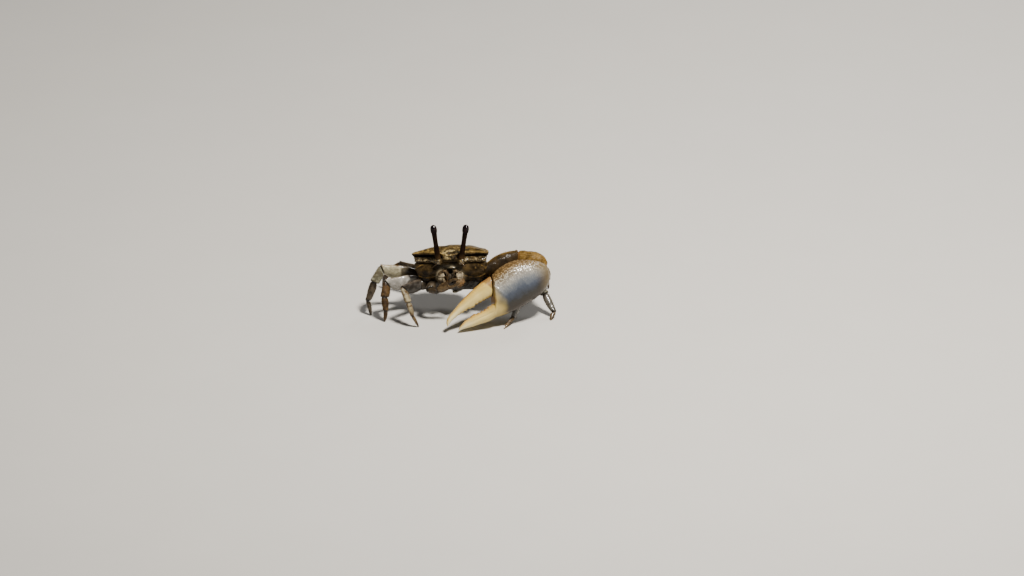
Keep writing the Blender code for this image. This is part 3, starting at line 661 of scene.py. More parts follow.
def edgeRoots(grid, columns, spacing, first=0.08, last=0.97):
    # places on the chosen columns of an article's grid, a jittered spacing apart, with the
    # surface's normal and the way along the article
    rows = len(grid)
    length = np.linalg.norm(np.diff(grid.mean(axis=1), axis=0), axis=1).sum()
    count = max(2, int(length * (last - first) / spacing))
    steps = (np.arange(count) + 0.5) / count
    normals = gridNormals(grid)
    along = unit(np.gradient(grid, axis=0) + 1e-9)
    out = []
    for column in columns:
        cells = np.stack([np.arange(count), np.full(count, column), np.zeros(count)], -1)
        jitter = scattered(cells, 4.0)
        share = first + (last - first) * steps + (jitter[:, 0] - 0.5) * 0.6 * spacing / length
        row = np.clip(share * rows, 0, rows - 1).astype(int)
        col = (column + np.round((jitter[:, 1] - 0.5) * 4).astype(int)) % grid.shape[1]
        out.append((grid[row, col], normals[row, col], along[row, col], jitter[:, 2]))
    return [np.concatenate(part) for part in zip(*out)]


def bristleShell():
    # dark at the root, golden towards the tip
    paint = Paint("bristle")
    streak = paint.noise(paint.place(), 900.0, 2.0)
    colour = paint.layered((0.035, 0.02, 0.008), (paint.mask("along"), (0.22, 0.145, 0.06)),
                           (streak.step(0.45, 0.65) * 0.5, (0.10, 0.065, 0.03)))
    return paint.finished(colour, 0.45 + streak * 0.1)


bristleMaterial = bristleShell()


def bristlePiece(name, sources, kind, slot):
    # one mesh of all the bristles on these grids; a source is a grid and its columns
    spacing, shortest, longest, lean = bristle[kind]
    found = [edgeRoots(grid, columns, spacing) for grid, columns in sources]
    roots, normals, along, chance = (np.concatenate(part) for part in zip(*found))
    ways = normals + along * (lean * (0.5 + chance))[:, None]
    sizes = shortest + (longest - shortest) * chance
    piece(bristleMesh(name, roots - normals * bristle["sunk"], ways, sizes), bristleMaterial, slot)


def legSkins(leg, hip, rest):
    joints = [fromBody(hip), *rest]
    size = legShape["size"][leg[-1]]
    profiles = [np.array(legShape[article]) * (1, size, size, 1) for article in legArticles]
    skins = limbSkins(joints, profiles, thinWays(joints), legShape, lastNormal=(0, 0, -1))
    # the merus's root share goes dark: painted shade near the body
    skins[0][1]["root"] = 1 - riseTo(-0.12, 0.12, skins[0][1]["along"] - paintedRootShade.get(leg, 0.3))
    for article, (grid, masks), tint in zip(legArticles, skins, legColours[leg]):
        mesh = closedMesh(f"{leg}_{article}_skin", grid, masks)
        piece(mesh, legShells[tint], "leg_shell", f"{leg}_{article}")
    path = joints[0] + np.outer(basis["reach"], unit(np.array(joints[1]) - joints[0]))
    wide, thick, thin = basis["wide"] * size, basis["thick"] * size, thinWays(joints)[0]
    grid, along, _ = hornGrid(path, wide, thick, basis["rows"], basis["columns"], thin,
                              basis["squareness"])
    grid = raised(grid, waves(grid, 0.9, seed=7.0) * 0.08 - 0.12 * hump(along, 0.72, 0.04))
    masks = {"joint": 0.75 * riseTo(0.8, 1.0, along)}
    mesh = domedMesh(leg + "_basis_skin", grid, masks, 0.2, 0.12)
    piece(mesh, legShells["legDark"], "leg_shell")
    around = range(0, legShape["columns"], legShape["columns"] // 4)
    sources = [(grid, around[::2]) for grid, _ in skins[:3]] + [(skins[3][0], around)]
    bristlePiece(leg + "_bristles", sources, "leg", "leg_shell")


for leg, (hip, *rest) in legPlan.items():
    legSkins(leg, hip, rest)
print("walking legs made")

bigClaw = {  # in the claw's own frame; lean is how far each ring leans, in degrees
    "hand": {
        "path": ((-1.9, 1.9, 0), (-0.7, 2.1, 0), (1.6, 2.3, 0), (4.6, 2.55, 0), (8, 2.8, 0), (12, 2.7, 0),
                 (16.3, 2.45, 0)),
        "wide": (1.3, 3.1, 4.75, 5.95, 6.6, 6.6, 6.05),
        "thick": (0.9, 2.3, 3.4, 4.0, 4.1, 3.7, 2.9),
        "lean": (0, 0, 0, 2, 6, 13, 24),
        "rows": 130, "columns": 200, "squareness": 2.25,
    },
    "fixed": {
        "path": ((18.35, -1.25, 0), (20.8, -1.55, 0), (24, -1.4, 0), (27, -1.3, 0), (29, -1.45, 0),
                 (30.2, -1.7, 0)),
        "wide": (2.1, 1.75, 1.5, 1.1, 0.62, 0.16),
        "thick": (2.35, 1.9, 1.5, 1.05, 0.62, 0.2),
        "lean": (27, 10, 0, 0, 0, 0),
        "rows": 110, "columns": 200,
    },
    "finger": {
        "path": ((15.95, 5.5, 0), (19.3, 5.15, 0), (22.4, 4.65, 0), (25.7, 4.0, 0), (28.7, 3.2, 0),
                 (31.0, 2.4, 0), (32.2, 1.55, 0), (32.75, 0.75, 0)),
        "wide": (2.95, 2.3, 1.92, 1.48, 0.98, 0.78, 0.52, 0.16),
        "thick": (2.0, 1.85, 1.6, 1.3, 1.0, 0.75, 0.48, 0.2),
        "lean": (29, 9, 0, 0, 0, 0, 0, 0),
        "rows": 150, "columns": 120,
    },
    "wristFold": {  # soft skin between the wrist and the palm, over the floor
        "path": ((26.9, -2.8, 12.0), (27.2, -4.3, 11.8), (27.4, -5.8, 11.5), (27.5, -7.2, 11.1)),
        "wide": (1.5, 1.35, 1.35, 1.2),
        "thick": (1.3, 1.2, 1.2, 1.1),
        "thickAxis": (0.0, -0.2, 1.0),
        "rows": 60, "columns": 64, "squareness": 2.1,
    },
    "bridgeRings": 14,
    "beadSize": 0.50,
    "beadHeight": 0.12,
    "fixedTeeth": (19.4, 1.15, 8, 24.4),  # first tooth, spacing, count, and the large one
    "fingerTeeth": (19.4, 1.25, 9, 23.6),
    "toothHeight": 0.26,
}


def teethLift(x, teeth):
    # a row of rounded teeth: the sum of exp(-((x - tooth) / 0.3)^2), and one broad tooth
    first, spacing, count, large = teeth
    lift = sum(math.exp(-0.06 * i) * hump(x, first + spacing * i, 0.30) for i in range(count))
    return bigClaw["toothHeight"] * (lift + 1.3 * hump(x, large, 0.75))


def palmSkin():
    # The palm's rings, some blended ones, then the fixed finger's; beads grow to the upper edge
    plan = bigClaw
    hand, _, angle = hornGrid(**plan["hand"])
    fixed, _, _ = hornGrid(**plan["fixed"])
    share = np.linspace(0, 1, plan["bridgeRings"] + 2)[1:-1, None, None]
    grid = np.concatenate([hand, hand[-1] + (fixed[0] - hand[-1]) * share, fixed])
    upper = np.cos(angle)
    outer = -np.sin(angle)
    x, y = grid[..., 0], grid[..., 1]
    onFixed = riseTo(17.2, 19.0, x) * (1 - riseTo(1.2, 2.2, y))
    beads = beadHeight(grid, plan["beadSize"], seed=1.0)
    fine = beadHeight(grid, 0.34, seed=7.0)
    high = riseTo(-0.8, 0.65, upper) * (1 - riseTo(14.5, 17.5, x))
    lift = beads * plan["beadHeight"] * (0.12 + 0.88 * high)
    lift += fine * 0.035 * (1 - high) * (1 - 0.7 * onFixed)
    lift += 0.10 * np.abs(upper) ** 8 * beadHeight(grid, 0.62, seed=4.0) * (1 - onFixed)
    # a shallow hollow at the root of the fixed finger, and a furrow along it on both faces
    lift -= 0.38 * hump(x, 16.6, 2.2) * hump(y, -0.4, 1.5) * outer**2
    lift -= 0.13 * hump(y, -1.45, 0.28) * riseTo(18, 20, x) * (1 - riseTo(26, 29, x))
    lift += waves(grid, 2.6, seed=9.0) * 0.16
    # the socket's swollen edge next to the movable finger
    lift += 0.16 * hump(x - 0.45 * (y - 5), 15.6, 0.5) * riseTo(0.0, 3.0, y)
    margin = np.clip(upper, 0, 1) ** 5 * riseTo(18.4, 19.2, x)
    lift += teethLift(x, plan["fixedTeeth"]) * margin * (1 - riseTo(28.5, 29.8, x))
    grid = raised(grid, lift)
    masks = {
        "upper": upper * 0.5 + 0.5,
        "cream": riseTo(14.0, 17.9, x - 0.12 * y + waves(grid, 1.8, seed=2.0) * 1.6),
        "gape": np.maximum(margin * riseTo(-0.3, 0.5, upper),
                           riseTo(15.9, 17.4, x) * riseTo(-0.5, 1.2, y)),
        "beads": beads * high,
        "bumps": beads,
        "tip": riseTo(24, 30, x),
        "heel": 1 - riseTo(-1.5, 4.5, x),
        "golden": riseTo(14.0, 16.5, x) * (1 - riseTo(18.0, 22.5, x)),
    }
    return domedMesh("big_claw_palm_skin", grid, masks, 0.35, 0.12, fromClaw)


def fingerSkin():
    # the movable finger: rings on its curve, a row of teeth below, beads on the root's back
    plan = bigClaw
    grid, _, angle = hornGrid(**plan["finger"])
    upper = np.cos(angle)
    x = grid[..., 0]
    margin = np.clip(-upper, 0, 1) ** 5
    back = riseTo(0.2, 0.9, upper) * (1 - riseTo(19, 25, x))
    lift = teethLift(x, plan["fingerTeeth"]) * margin * (1 - riseTo(29.6, 31.4, x))
    lift += 0.10 * back * beadHeight(grid, 0.5, seed=3.0)
    lift -= 0.12 * hump(upper, 0.12, 0.16) * riseTo(17.5, 19.5, x) * (1 - riseTo(26, 29.5, x))
    lift += waves(grid, 1.6, seed=6.0) * 0.07
    grid = raised(grid, lift)
    root = 1 - riseTo(16.2, 17.3, x - 0.42 * (grid[..., 1] - 5.5))
    masks = {
        "upper": upper * 0.5 + 0.5,
        "cream": 1.0,
        "gape": np.maximum(margin * (1 - 0.75 * riseTo(19, 27, x)), root),
        "beads": back * 0.4,
        "bumps": 1.0,
        "tip": riseTo(24, 32, x),
    }
    return domedMesh("big_claw_finger_skin", grid, masks, 0.12, 0.1, fromClaw)


def wristFoldSkin():
    grid, along, _ = hornGrid(**bigClaw["wristFold"])
    return domedMesh("big_claw_wrist_fold", raised(grid, 0.09 * np.sin(along * 30)), {}, 0.1, 0.1)


# Across the palm, from its lower keel, darkened partly as painted shade, over the blue middle and a pale
# band painted as the wet sheen to the tan back
palmTintsShadeAndSheen = (
    (0.05, (0.022, 0.013, 0.005)), (0.20, (0.020, 0.018, 0.015)), (0.40, (0.048, 0.057, 0.077)),
    (0.53, (0.125, 0.135, 0.145)), (0.64, (0.28, 0.27, 0.24)), (0.73, (0.29, 0.255, 0.185)),
    (0.84, (0.20, 0.130, 0.050)), (0.94, (0.115, 0.064, 0.020)),
)


def clawShell():
    # Blue-grey palm, darker to its keel partly as painted shade, under a painted pale sheen and pale
    # bead tops that stand for glints, tan along its upper edge, turning cream to the fingers, which are
    # ivory at their tips and orange-brown where they join and close
    paint = Paint("clawShell")
    place = paint.place()
    upper, tip = paint.mask("upper"), paint.mask("tip")
    clouds = paint.noise(place, 130.0, 2.0)
    stains = paint.noise(place, 760.0, 5.0, 0.7)
    pores = paint.cells(place, 3600.0)
    between = (1 - paint.mask("bumps").step(0.10, 0.50)) * upper.step(0.50, 0.80)
    # bead tops: pale grey in the blue middle as painted glints of the wet sheen, tan towards the top
    beadTopsAndSheen = paint.mix(upper.step(0.74, 0.92), (0.42, 0.39, 0.32), (0.31, 0.205, 0.085))
    hand = paint.layered(
        # the ramp's dark keel is partly painted shade and its pale band a painted sheen
        paint.ramp(upper + (clouds - 0.5) * 0.22 + (stains - 0.5) * 0.20, palmTintsShadeAndSheen),
        (between * 0.75, (0.065, 0.036, 0.011)),
        (paint.mask("beads").step(0.2, 0.8) * 0.5, beadTopsAndSheen),
        (paint.mask("heel") * 0.8, (0.125, 0.086, 0.032)),
        (stains.step(0.60, 0.75) * upper.step(0.55, 0.8) * 0.5, (0.12, 0.072, 0.027)),
    )
    ivory = paint.layered(
        (0.55, 0.41, 0.115),
        (clouds.step(0.35, 0.65), (0.66, 0.53, 0.20)),
        (tip * 0.75, (0.75, 0.67, 0.40)),
        (upper.step(0.45, 0.85) * 0.8, (0.50, 0.31, 0.045)),
        (upper.step(0.86, 0.99) * stains.step(0.3, 0.6) * (1 - tip), (0.30, 0.14, 0.035)),
        (stains.step(0.62, 0.78) * 0.4, (0.38, 0.21, 0.07)),
        (paint.mask("golden") * 0.6, (0.33, 0.225, 0.065)),
    )
    colour = paint.layered(hand, (paint.mask("cream"), ivory),
                           (paint.mask("gape").step(0.35, 1.0) * 0.75, (0.17, 0.08, 0.028)))
    height = stains * 0.35 + pores * 0.5
    rough = 0.28 + clouds * 0.16 + paint.mask("beads") * 0.08
    return paint.finished(colour, rough, (height, 0.00004, 0.55), (0.4, 0.14), 0.25)


clawMaterial = clawShell()
piece(palmSkin(), clawMaterial, "claw_shell", "big_claw_palm")
piece(fingerSkin(), clawMaterial, "finger_shell", "big_claw_finger")
piece(wristFoldSkin(), legShells["legBrown"], "arm_shell")
print("big claw made")

bigArm = {
    "side": "big_claw",
    "shoulder": (7.4, -3.2, -6.6),  # in the body's frame
    "elbow": (19.3, -0.6, 14.9),
    "wrist": (27.0, -2.6, 12.0),
    "merus": ((0, 1.5, 1.3, 0), (0.14, 1.6, 1.4, 0), (0.28, 1.9, 1.6, 0.1), (0.5, 2.6, 1.8, 0.2),
              (0.75, 2.8, 1.9, 0.2), (1.0, 2.4, 1.7, 0)),
    "carpus": ((0, 2.2, 1.7, 0.1), (0.22, 2.75, 2.2, 0.45), (0.55, 3.0, 2.5, 0.9), (0.85, 2.7, 2.3, 0.7),
               (1.0, 2.0, 1.8, 0.3)),
    "thin": (-0.08, -0.88, 0.45),  # the way in which both articles are thin
    "step": 0.13, "columns": 110, "squareness": 2.25, "wrinkle": 0.06, "beads": 0.10, "pointed": False,
    "wartSize": 0.46, "wartHeight": 0.11,
}
smallClaw = {
    "side": "small_claw",
    "shoulder": (-5.6, -5.2, -8.6),  # in the body's frame
    "elbow": (-6.5, -10.2, 9.2),
    "wrist": (-4.2, -11.7, 9.5),
    "tip": (0.6, -11.9, 12.2),
    "merus": ((0, 0.95, 0.85, 0), (0.2, 1.0, 0.9, 0), (0.6, 1.3, 1.05, 0.05), (1.0, 1.05, 0.9, 0)),
    "carpus": ((0, 0.85, 0.8, 0), (0.5, 1.1, 1.0, 0.1), (1.0, 0.85, 0.8, 0)),
    "thin": (0.1, 0.5, 0.86),
    "faces": (0.1, -0.9, 0.42),  # the way the hand's flat side looks
    "step": 0.1, "columns": 56, "squareness": 2.2, "wrinkle": 0.03, "beads": 0.05, "pointed": False,
    "wartSize": 0.36, "wartHeight": 0.04,
    "bulges": (0.25, 0.22),
    # in the palm's own frame: path, half width, half thickness, rows, columns
    "palm": (((-0.35, 0, 0), (1.0, 0.05, 0), (2.2, 0.1, 0), (3.4, 0.05, 0)),
             (0.6, 1.15, 1.3, 1.15), (0.5, 0.8, 0.85, 0.7), 60, 72),
    "fixed": (((2.0, -0.4, 0), (4.2, -0.85, 0), (5.6, -0.9, 0), (6.7, -0.55, 0)),
              (0.6, 0.4, 0.38, 0.30), (0.55, 0.42, 0.42, 0.36), 60, 48),
    "finger": (((3.3, 0.5, 0), (4.7, 0.85, 0), (5.7, 0.8, 0), (6.75, 0.3, 0)),
               (0.45, 0.42, 0.38, 0.30), (0.5, 0.42, 0.42, 0.36), 60, 48),
}
smallAim = unit(np.array(smallClaw["tip"]) - smallClaw["wrist"])


def armShell():
    # golden-brown tubercles on a tan shell; the smooth faces between the rims are dark brown, painted
    # nearly black as shade
    paint = Paint("armShell")
    place = paint.place()
    clouds = paint.noise(place, 330.0, 4.0, 0.6)
    stains = paint.noise(place, 1100.0, 4.0, 0.65)
    pores = paint.cells(place, 3400.0)
    # the smooth face's colour: dark brown painted nearly black as shade
    smooth = paint.mix(clouds.step(0.3, 0.7), (0.004, 0.003, 0.002), (0.014, 0.009, 0.005))
    colour = paint.layered(
        (0.060, 0.033, 0.007),
        (clouds.step(0.36, 0.66), (0.175, 0.103, 0.026)),
        (paint.mask("beads").step(0.3, 0.8) * 0.4, (0.30, 0.195, 0.070)),
        (stains.step(0.58, 0.72) * 0.6, (0.05, 0.022, 0.008)),
        # painted shade over the smooth faces
        (paint.mask("smooth") * (1 - paint.mask("edge")), smooth),
        (paint.mask("joint") * stains.step(0.25, 0.55) * 0.8, (0.17, 0.075, 0.022)),
    )
    height = stains * 0.5 + pores * 0.4
    rough = 0.34 + clouds * 0.2 + paint.mask("smooth") * 0.1
    return paint.finished(colour, rough, (height, 0.00005, 0.6), (0.04, 0.16), 0.04)


def armSkins(plan, material, handAim):
    # An arm is a limb as a leg is. The wrist carries beads all over, the arm mostly along its
    # rims, and its face towards the viewer is smooth and painted dark as shade.
    joints = [fromBody(plan["shoulder"]), plan["elbow"], plan["wrist"]]
    thin = unit(plan["thin"])
    profiles = plan["merus"], plan["carpus"]
    skins = limbSkins(joints, profiles, (thin, thin), plan, lastNormal=handAim)
    for article, (grid, masks) in zip(legArticles, skins):
        wrist = article == "carpus"
        beads = beadHeight(grid, plan["wartSize"], seed=8.0)
        beads = beads * (1.0 if wrist else 0.4 + 0.6 * masks["edge"])
        grid = raised(grid, beads * plan["wartHeight"] * (1 - masks["joint"]))
        # smooth marks the merus face that is painted dark as shade
        masks = {"beads": beads, "smooth": 0.0 if wrist else 0.9, **masks}
        name = f"{plan['side']}_{article}"
        if wrist:
            bulge = 0.22 * plan["carpus"][-1][1]
            piece(domedMesh(name + "_skin", grid, masks, 0.05, bulge), material, "arm_shell", name)
        else:
            piece(closedMesh(name + "_skin", grid, masks), material, "arm_shell", name)
            half = plan["columns"] // 2
            bristlePiece(name + "_bristles", [(grid, (0, 1, half, half + 1))], "arm", "arm_shell")


def smallClawSkins():
    # a spoon-tipped pair of fingers on a slim palm; all three are horns in the palm's own frame
    face = np.array(smallClaw["faces"])
    face = unit(face - smallAim * (face @ smallAim))
    turn = np.column_stack([smallAim, np.cross(face, smallAim), face])
    origin = np.array(smallClaw["wrist"]) + smallAim * stance["gap"]
    bulges = smallClaw["bulges"]

    def inHand(points):
        return points @ turn.T + origin

    for name in ("palm", "fixed", "finger"):
        grid, along, angle = hornGrid(*smallClaw[name])
        lift = waves(grid, 0.7, seed=4.0) * 0.05 + beadHeight(grid, 0.35, seed=6.0) * 0.025
        grid = raised(grid, lift)
        stands = () if name == "fixed" else ("small_claw_" + name,)
        masks = {"edge": np.abs(np.cos(angle)) ** 6, "joint": (1 - riseTo(0.0, 0.2, along)) * 0.6}
        mesh = domedMesh(f"small_claw_{name}_skin", grid, masks, *bulges, inHand)
        piece(mesh, legShells["armBrown"], "arm_shell", *stands)
        if name != "palm":
            outerHalf = [(inHand(domed(grid, *bulges)[30:]), (0, 6, 18, 24, 30, 42))]
            bristlePiece(f"small_claw_{name}_bristles", outerHalf, "hand", "arm_shell")


armSkins(bigArm, armShell(), None)
# the feeding claw's merus and carpus take the dark shell as painted shade, as if in shadow
armSkins(smallClaw, legShells["legDark"], smallAim)
smallClawSkins()
print("arms and feeding claw made")

face = {  # the left side's paths, in the body's frame
    "stalkBase": (3.5, -7.9, -1.3),
    "stalkReach": (0.0, 2.2, 5.2, 7.9),
    "stalkSize": (0.92, 0.80, 0.70, 0.78),
    "eyeReach": (8.0, 8.4, 9.0, 9.7, 10.2, 10.48, 10.65),
    "eyeSize": (0.78, 0.91, 1.0, 0.98, 0.84, 0.62, 0.30),
    "splay": {"right": -0.13, "left": 0.135},
    "antenna": ((2.5, -7.4, -1.9), (3.0, -8.3, -2.3), (3.9, -8.85, -3.0), (5.0, -9.0, -3.9)),
    "antennaSize": (0.34, 0.28, 0.18, 0.07),
    "door": ((2.3, -6.6, -10.1), (2.55, -7.2, -9.1), (2.75, -7.55, -8.1), (2.8, -7.7, -7.1),
             (2.7, -7.75, -6.2), (2.35, -7.7, -5.3)),
    "doorWide": (0.6, 1.15, 1.3, 1.0, 1.15, 0.6),
    "doorThick": [0.42] * 6,
    # inner mouth parts: path, half width, half thickness, rows, columns
    "palp": (((2.3, -8.0, -5.5), (1.75, -8.25, -5.05), (1.2, -8.1, -5.4), (0.95, -7.9, -6.2),
              (0.95, -7.6, -7.0)),
             (0.30, 0.36, 0.36, 0.28, 0.10), (0.26, 0.30, 0.30, 0.22, 0.08), 60, 48),
    "lash": (((1.55, -6.6, -9.6), (1.5, -6.9, -8.6), (1.35, -7.0, -7.6), (1.1, -6.9, -6.7),
              (0.8, -6.7, -6.0)),
             (0.40, 0.55, 0.50, 0.42, 0.20), (0.2, 0.28, 0.28, 0.22, 0.12), 60, 48),
    "jaw": (((0.75, -6.0, -8.4), (0.7, -6.3, -7.6), (0.6, -6.4, -6.8), (0.55, -6.2, -6.0)),
            (0.35, 0.62, 0.66, 0.35), (0.3, 0.4, 0.4, 0.25), 60, 48),
    "innerTints": {"palp": "armBrown", "lash": "legBrown", "jaw": "legDark"},
}


def sided(points, side):
    return np.asarray(points, float) * np.array([side, 1.0, 1.0])


def stalkSkin():
    # near-black brown, lighter at the root, with a fine grain
    paint = Paint("stalkSkin")
    place = paint.place()
    clouds = paint.noise(place, 700.0, 4.0)
    grain = paint.cells(place, 4200.0)
    brown = paint.layered(
        (0.004, 0.002, 0.0015),
        (clouds.step(0.35, 0.7), (0.015, 0.006, 0.003)),
        ((1 - paint.mask("along").step(0.0, 0.35)) * 0.7, (0.05, 0.027, 0.010)),
        ((1 - grain.step(0.08, 0.3)) * 0.2, (0.10, 0.055, 0.03)),
    )
    relief = (grain * 0.5 + clouds * 0.4, 0.00003, 0.5)
    return paint.finished(brown, 0.28 + clouds * 0.15, relief, specular=0.03)


def corneaSkin():
    # black with fine facets, glossy over its upper half
    paint = Paint("eyeCornea")
    place = paint.place()
    facets = paint.cells(place, 9000.0)
    sheen = paint.noise(place, 900.0, 2.0)
    dark = paint.mix(sheen.step(0.4, 0.7), (0.003, 0.002, 0.003), (0.014, 0.005, 0.005))
    coat = (paint.mask("along").step(0.35, 0.75) * 0.7, 0.05)
    return paint.finished(dark, 0.12 + facets * 0.05, (facets, 0.000006, 0.3), coat, 0.05)


def eyeSkins(name, side, stalkMaterial, corneaMaterial):
    # a stalk is a horn that swells at the root and under the eye; the cornea is a long cap
    level = bodyTurn.T  # turns a direction over the floor into the body's frame
    rise = level @ unit((face["splay"][name], -0.02, 1.0))
    forward = level @ np.array([0.0, -1.0, 0.0])
    base = sided(face["stalkBase"], side)
    path = base + np.outer(face["stalkReach"], rise)
    grid, along, _ = hornGrid(path, face["stalkSize"], face["stalkSize"], 90, 48, forward, 2.0)
    rings = 0.02 * np.sin(along * 46) * (1 - riseTo(0.0, 0.3, along))
    grid = raised(grid, waves(grid, 0.6, seed=2.0) * 0.05 + rings)
    mesh = domedMesh(f"eyestalk_{name}_skin", grid, {"along": along}, 0.1, 0.2, fromBody)
    piece(mesh, stalkMaterial, "eyestalk_skin", "eyestalk_" + name)
    path = base + np.outer(face["eyeReach"], rise)
    grid, along, _ = hornGrid(path, face["eyeSize"], face["eyeSize"], 70, 64, forward, 2.0)
    mesh = domedMesh(f"eye_{name}_skin", grid, {"along": along}, 0.06, 0.08, fromBody)
    piece(mesh, corneaMaterial, "eye_cornea", "eye_" + name)


def feelerSkin(name, side):
    # a horn with a ring at each joint
    size = face["antennaSize"]
    path, flat = sided(face["antenna"], side), (0.5 * side, -1.0, 0.3)
    grid, along, _ = hornGrid(path, size, size, 80, 32, flat, 2.0)
    grid = raised(grid, 0.045 * np.abs(np.sin(along * 34)) ** 0.6 * (1 - 0.5 * along))
    mesh = domedMesh(f"antenna_{name}_skin", grid, {"joint": 0.25}, 0.1, 0.08, fromBody)
    piece(mesh, legShells["legBrown"], "leg_shell", "antenna_" + name)


def doorSkin(name, side):
    # two plates with a furrow down the outer face and a notch where they hinge
    path, flat = sided(face["door"], side), (0.42 * side, -1.0, 0.0)
    grid, along, angle = hornGrid(path, face["doorWide"], face["doorThick"], 120, 96, flat, 2.8)
    notch = hump(along, 0.60, 0.022)
    furrow = 0.13 * hump(np.cos(angle) * side, 0.25, 0.13) * np.sin(angle) ** 2
    lift = -0.16 * notch - furrow * riseTo(0.05, 0.15, along) * (1 - riseTo(0.85, 0.95, along))
    lift = lift + beadHeight(grid, 0.3, seed=3.0) * 0.03 + waves(grid, 0.8) * 0.06
    grid = raised(grid, lift)
    tan = hump(along, 0.28, 0.16) * (side > 0)
    masks = {"edge": np.abs(np.cos(angle)) ** 8, "joint": notch * 0.7, "tan": tan}
    mesh = domedMesh(f"maxilliped_{name}_skin", grid, masks, 0.15, 0.25, fromBody)
    piece(mesh, legShells["mouthPlate"], "mouth_shell", "maxilliped_" + name)
    return fromBody(domed(grid, 0.15, 0.25)), [47, 49] if side > 0 else [0, 94]


def innerSkin(part, name, side):
    path, *sizes = face[part]
    grid, along, angle = hornGrid(sided(path, side), *sizes, (0.3 * side, -1.0, 0.0))
    rings = 0.04 * np.sin(along * 19) * (part == "palp")
    grid = raised(grid, beadHeight(grid, 0.28, seed=5.0) * 0.02 + rings)
    masks = {"edge": np.abs(np.cos(angle)) ** 6, "joint": 0.5 * (1 - riseTo(0.0, 0.3, along))}
    mesh = domedMesh(f"mouth_{part}_{name}", grid, masks, 0.12, 0.1, fromBody)
    piece(mesh, legShells[face["innerTints"][part]], "mouth_shell")
    return fromBody(domed(grid, 0.12, 0.1)), [23, 25] if side > 0 else [0, 46]


stalkMaterial, corneaMaterial = stalkSkin(), corneaSkin()
for name, side in (("right", -1), ("left", 1)):
    eyeSkins(name, side, stalkMaterial, corneaMaterial)
for name, side in (("right", -1), ("left", 1)):
    feelerSkin(name, side)
    fringed = [doorSkin(name, side), *(innerSkin(part, name, side) for part in face["innerTints"])]
    bristlePiece(f"mouth_{name}_bristles", fringed[:3], "mouth", "mouth_shell")
print("eyes and mouth parts made")

carapace = {
    "width": 22.4,
    "rear": 6.2,
    "dome": 1.5,
    "domeCentre": -1.0,  # along y
    "noseDrop": 0.4,
    "split": -8.3,  # where the sternum takes over
    "floor": -11.2,
    "perSpan": 11,  # columns between two points of the outline
    "mouthCentre": (0.0, -7.2, -7.4),
    "mouthRadii": (3.3, 2.2, 2.9),
    "beadSize": 0.5,
    "beadHeight": 0.055,
}


def outlines(levels):
    # The plan outline at each level, half of it: the lobe between the eyes, the orbit, the outer
    # tooth, the flank and the rear; then mirrored, and a closed cubic through its points
    half = carapace["width"] / 2
    depth = -np.asarray(levels, float)
    ridge = riseTo(0.95, 1.45, depth)
    below = np.maximum(0, depth - 3.2)
    slope = 0.055 * below**2
    lobe = -8.9 + 1.6 * riseTo(0.9, 2.6, depth) + slope
    orbit = -6.8 + 1.6 * riseTo(0.36, 0.66, depth) * (1 - ridge) - 0.5 * ridge + slope
    orbit = orbit - 0.5 * hump(depth, 1.95, 0.5)
    bulge = 0.6 * np.sin(np.pi * np.minimum(1, below / 5))
    narrower = 1 - (0.65 * riseTo(0.4, 1.4, depth) + 0.14 * below + 0.035 * below**2) / half
    back = 1.2 * (1 - riseTo(0, 2.6, depth))
    rear = carapace["rear"] - back - 0.08 * below
    halfOutline = (
        (0.0, lobe), (1.7, lobe + 0.35), (2.7, (lobe + orbit) / 2), (4.4, orbit - 0.3 - 0.5 * bulge),
        (6.6, orbit - bulge), (8.9, orbit - 0.8 * bulge), (half - 0.8, orbit - 0.3),
        (half, orbit * 0.3 - 7.2 * 0.7 + 0.7 * slope), (half - 0.1, slope - 5.5),
        (half - 0.6, 0.4 * slope - 3.4), (half - 1.5 - 0.2 * back, -0.6),
        (half - 2.9 - 0.4 * back, 2.3 - 0.2 * back), (half - 4.4 - 0.4 * back, rear - 1.6),
        (half - 6.2, rear - 0.4), (2.4, rear), (0.0, rear),
    )
    x, y = (np.stack(np.broadcast_arrays(*part, depth)[:-1], axis=-1) for part in zip(*halfOutline))
    x = x * narrower[..., None]
    there, back = np.stack([x, y], -1), np.stack([-x, y], -1)[..., -2:0:-1, :]
    points = np.concatenate([there, back], axis=-2)
    before, after, beyond = (np.roll(points, -shift, axis=-2) for shift in (-1, 1, 2))
    t = (np.arange(carapace["perSpan"]) / carapace["perSpan"])[:, None]
    spans = (points, after, (after - before) / 2, (beyond - points) / 2)
    smooth = hermite(t, *(part[..., None, :] for part in spans))
    return smooth.reshape(*points.shape[:-2], -1, 2)


def grooves(x, y):
    # the H-shaped furrow, the dip behind each eye and the one between them, whose dark mark is a painted
    # shadow of the eyestalk
    side = 0.30 * hump(np.abs(x) - 0.07 * (y - 0.8) ** 2, 2.9, 0.9) * hump(y, 0.8, 3.2)
    bar = 0.26 * hump(x, 0.0, 2.8) * hump(y, 1.0, 0.75)
    behindEye = 0.2 * hump(np.abs(x), 3.4, 1.4) * hump(y, -4.9, 0.7)
    return side + bar + behindEye + 0.16 * hump(x, 0.0, 1.3) * hump(y, -6.2, 0.8)


def noseDropAt(x, y):
    return carapace["noseDrop"] * hump(x, 0.0, 2.2) * riseTo(6.0, 8.6, -y)


def hollowed(grid):
    # pushes the front back to the far wall of the mouth's ellipsoid, y = c + r sqrt(1 - w)
    (cx, cy, cz), (rx, ry, rz) = carapace["mouthCentre"], carapace["mouthRadii"]
    w = ((grid[..., 0] - cx) / rx) ** 2 + ((grid[..., 2] - cz) / rz) ** 2
    wall = cy + ry * np.sqrt(np.clip(1 - w, 0, 1))
    front = (grid[..., 1] < -3.0) & (w < 1)
    deeper = np.maximum(0, wall - grid[..., 1]) * front
    return grid + deeper[..., None] * np.array([0.0, 1.0, 0.0]), riseTo(0.15, 1.1, deeper)


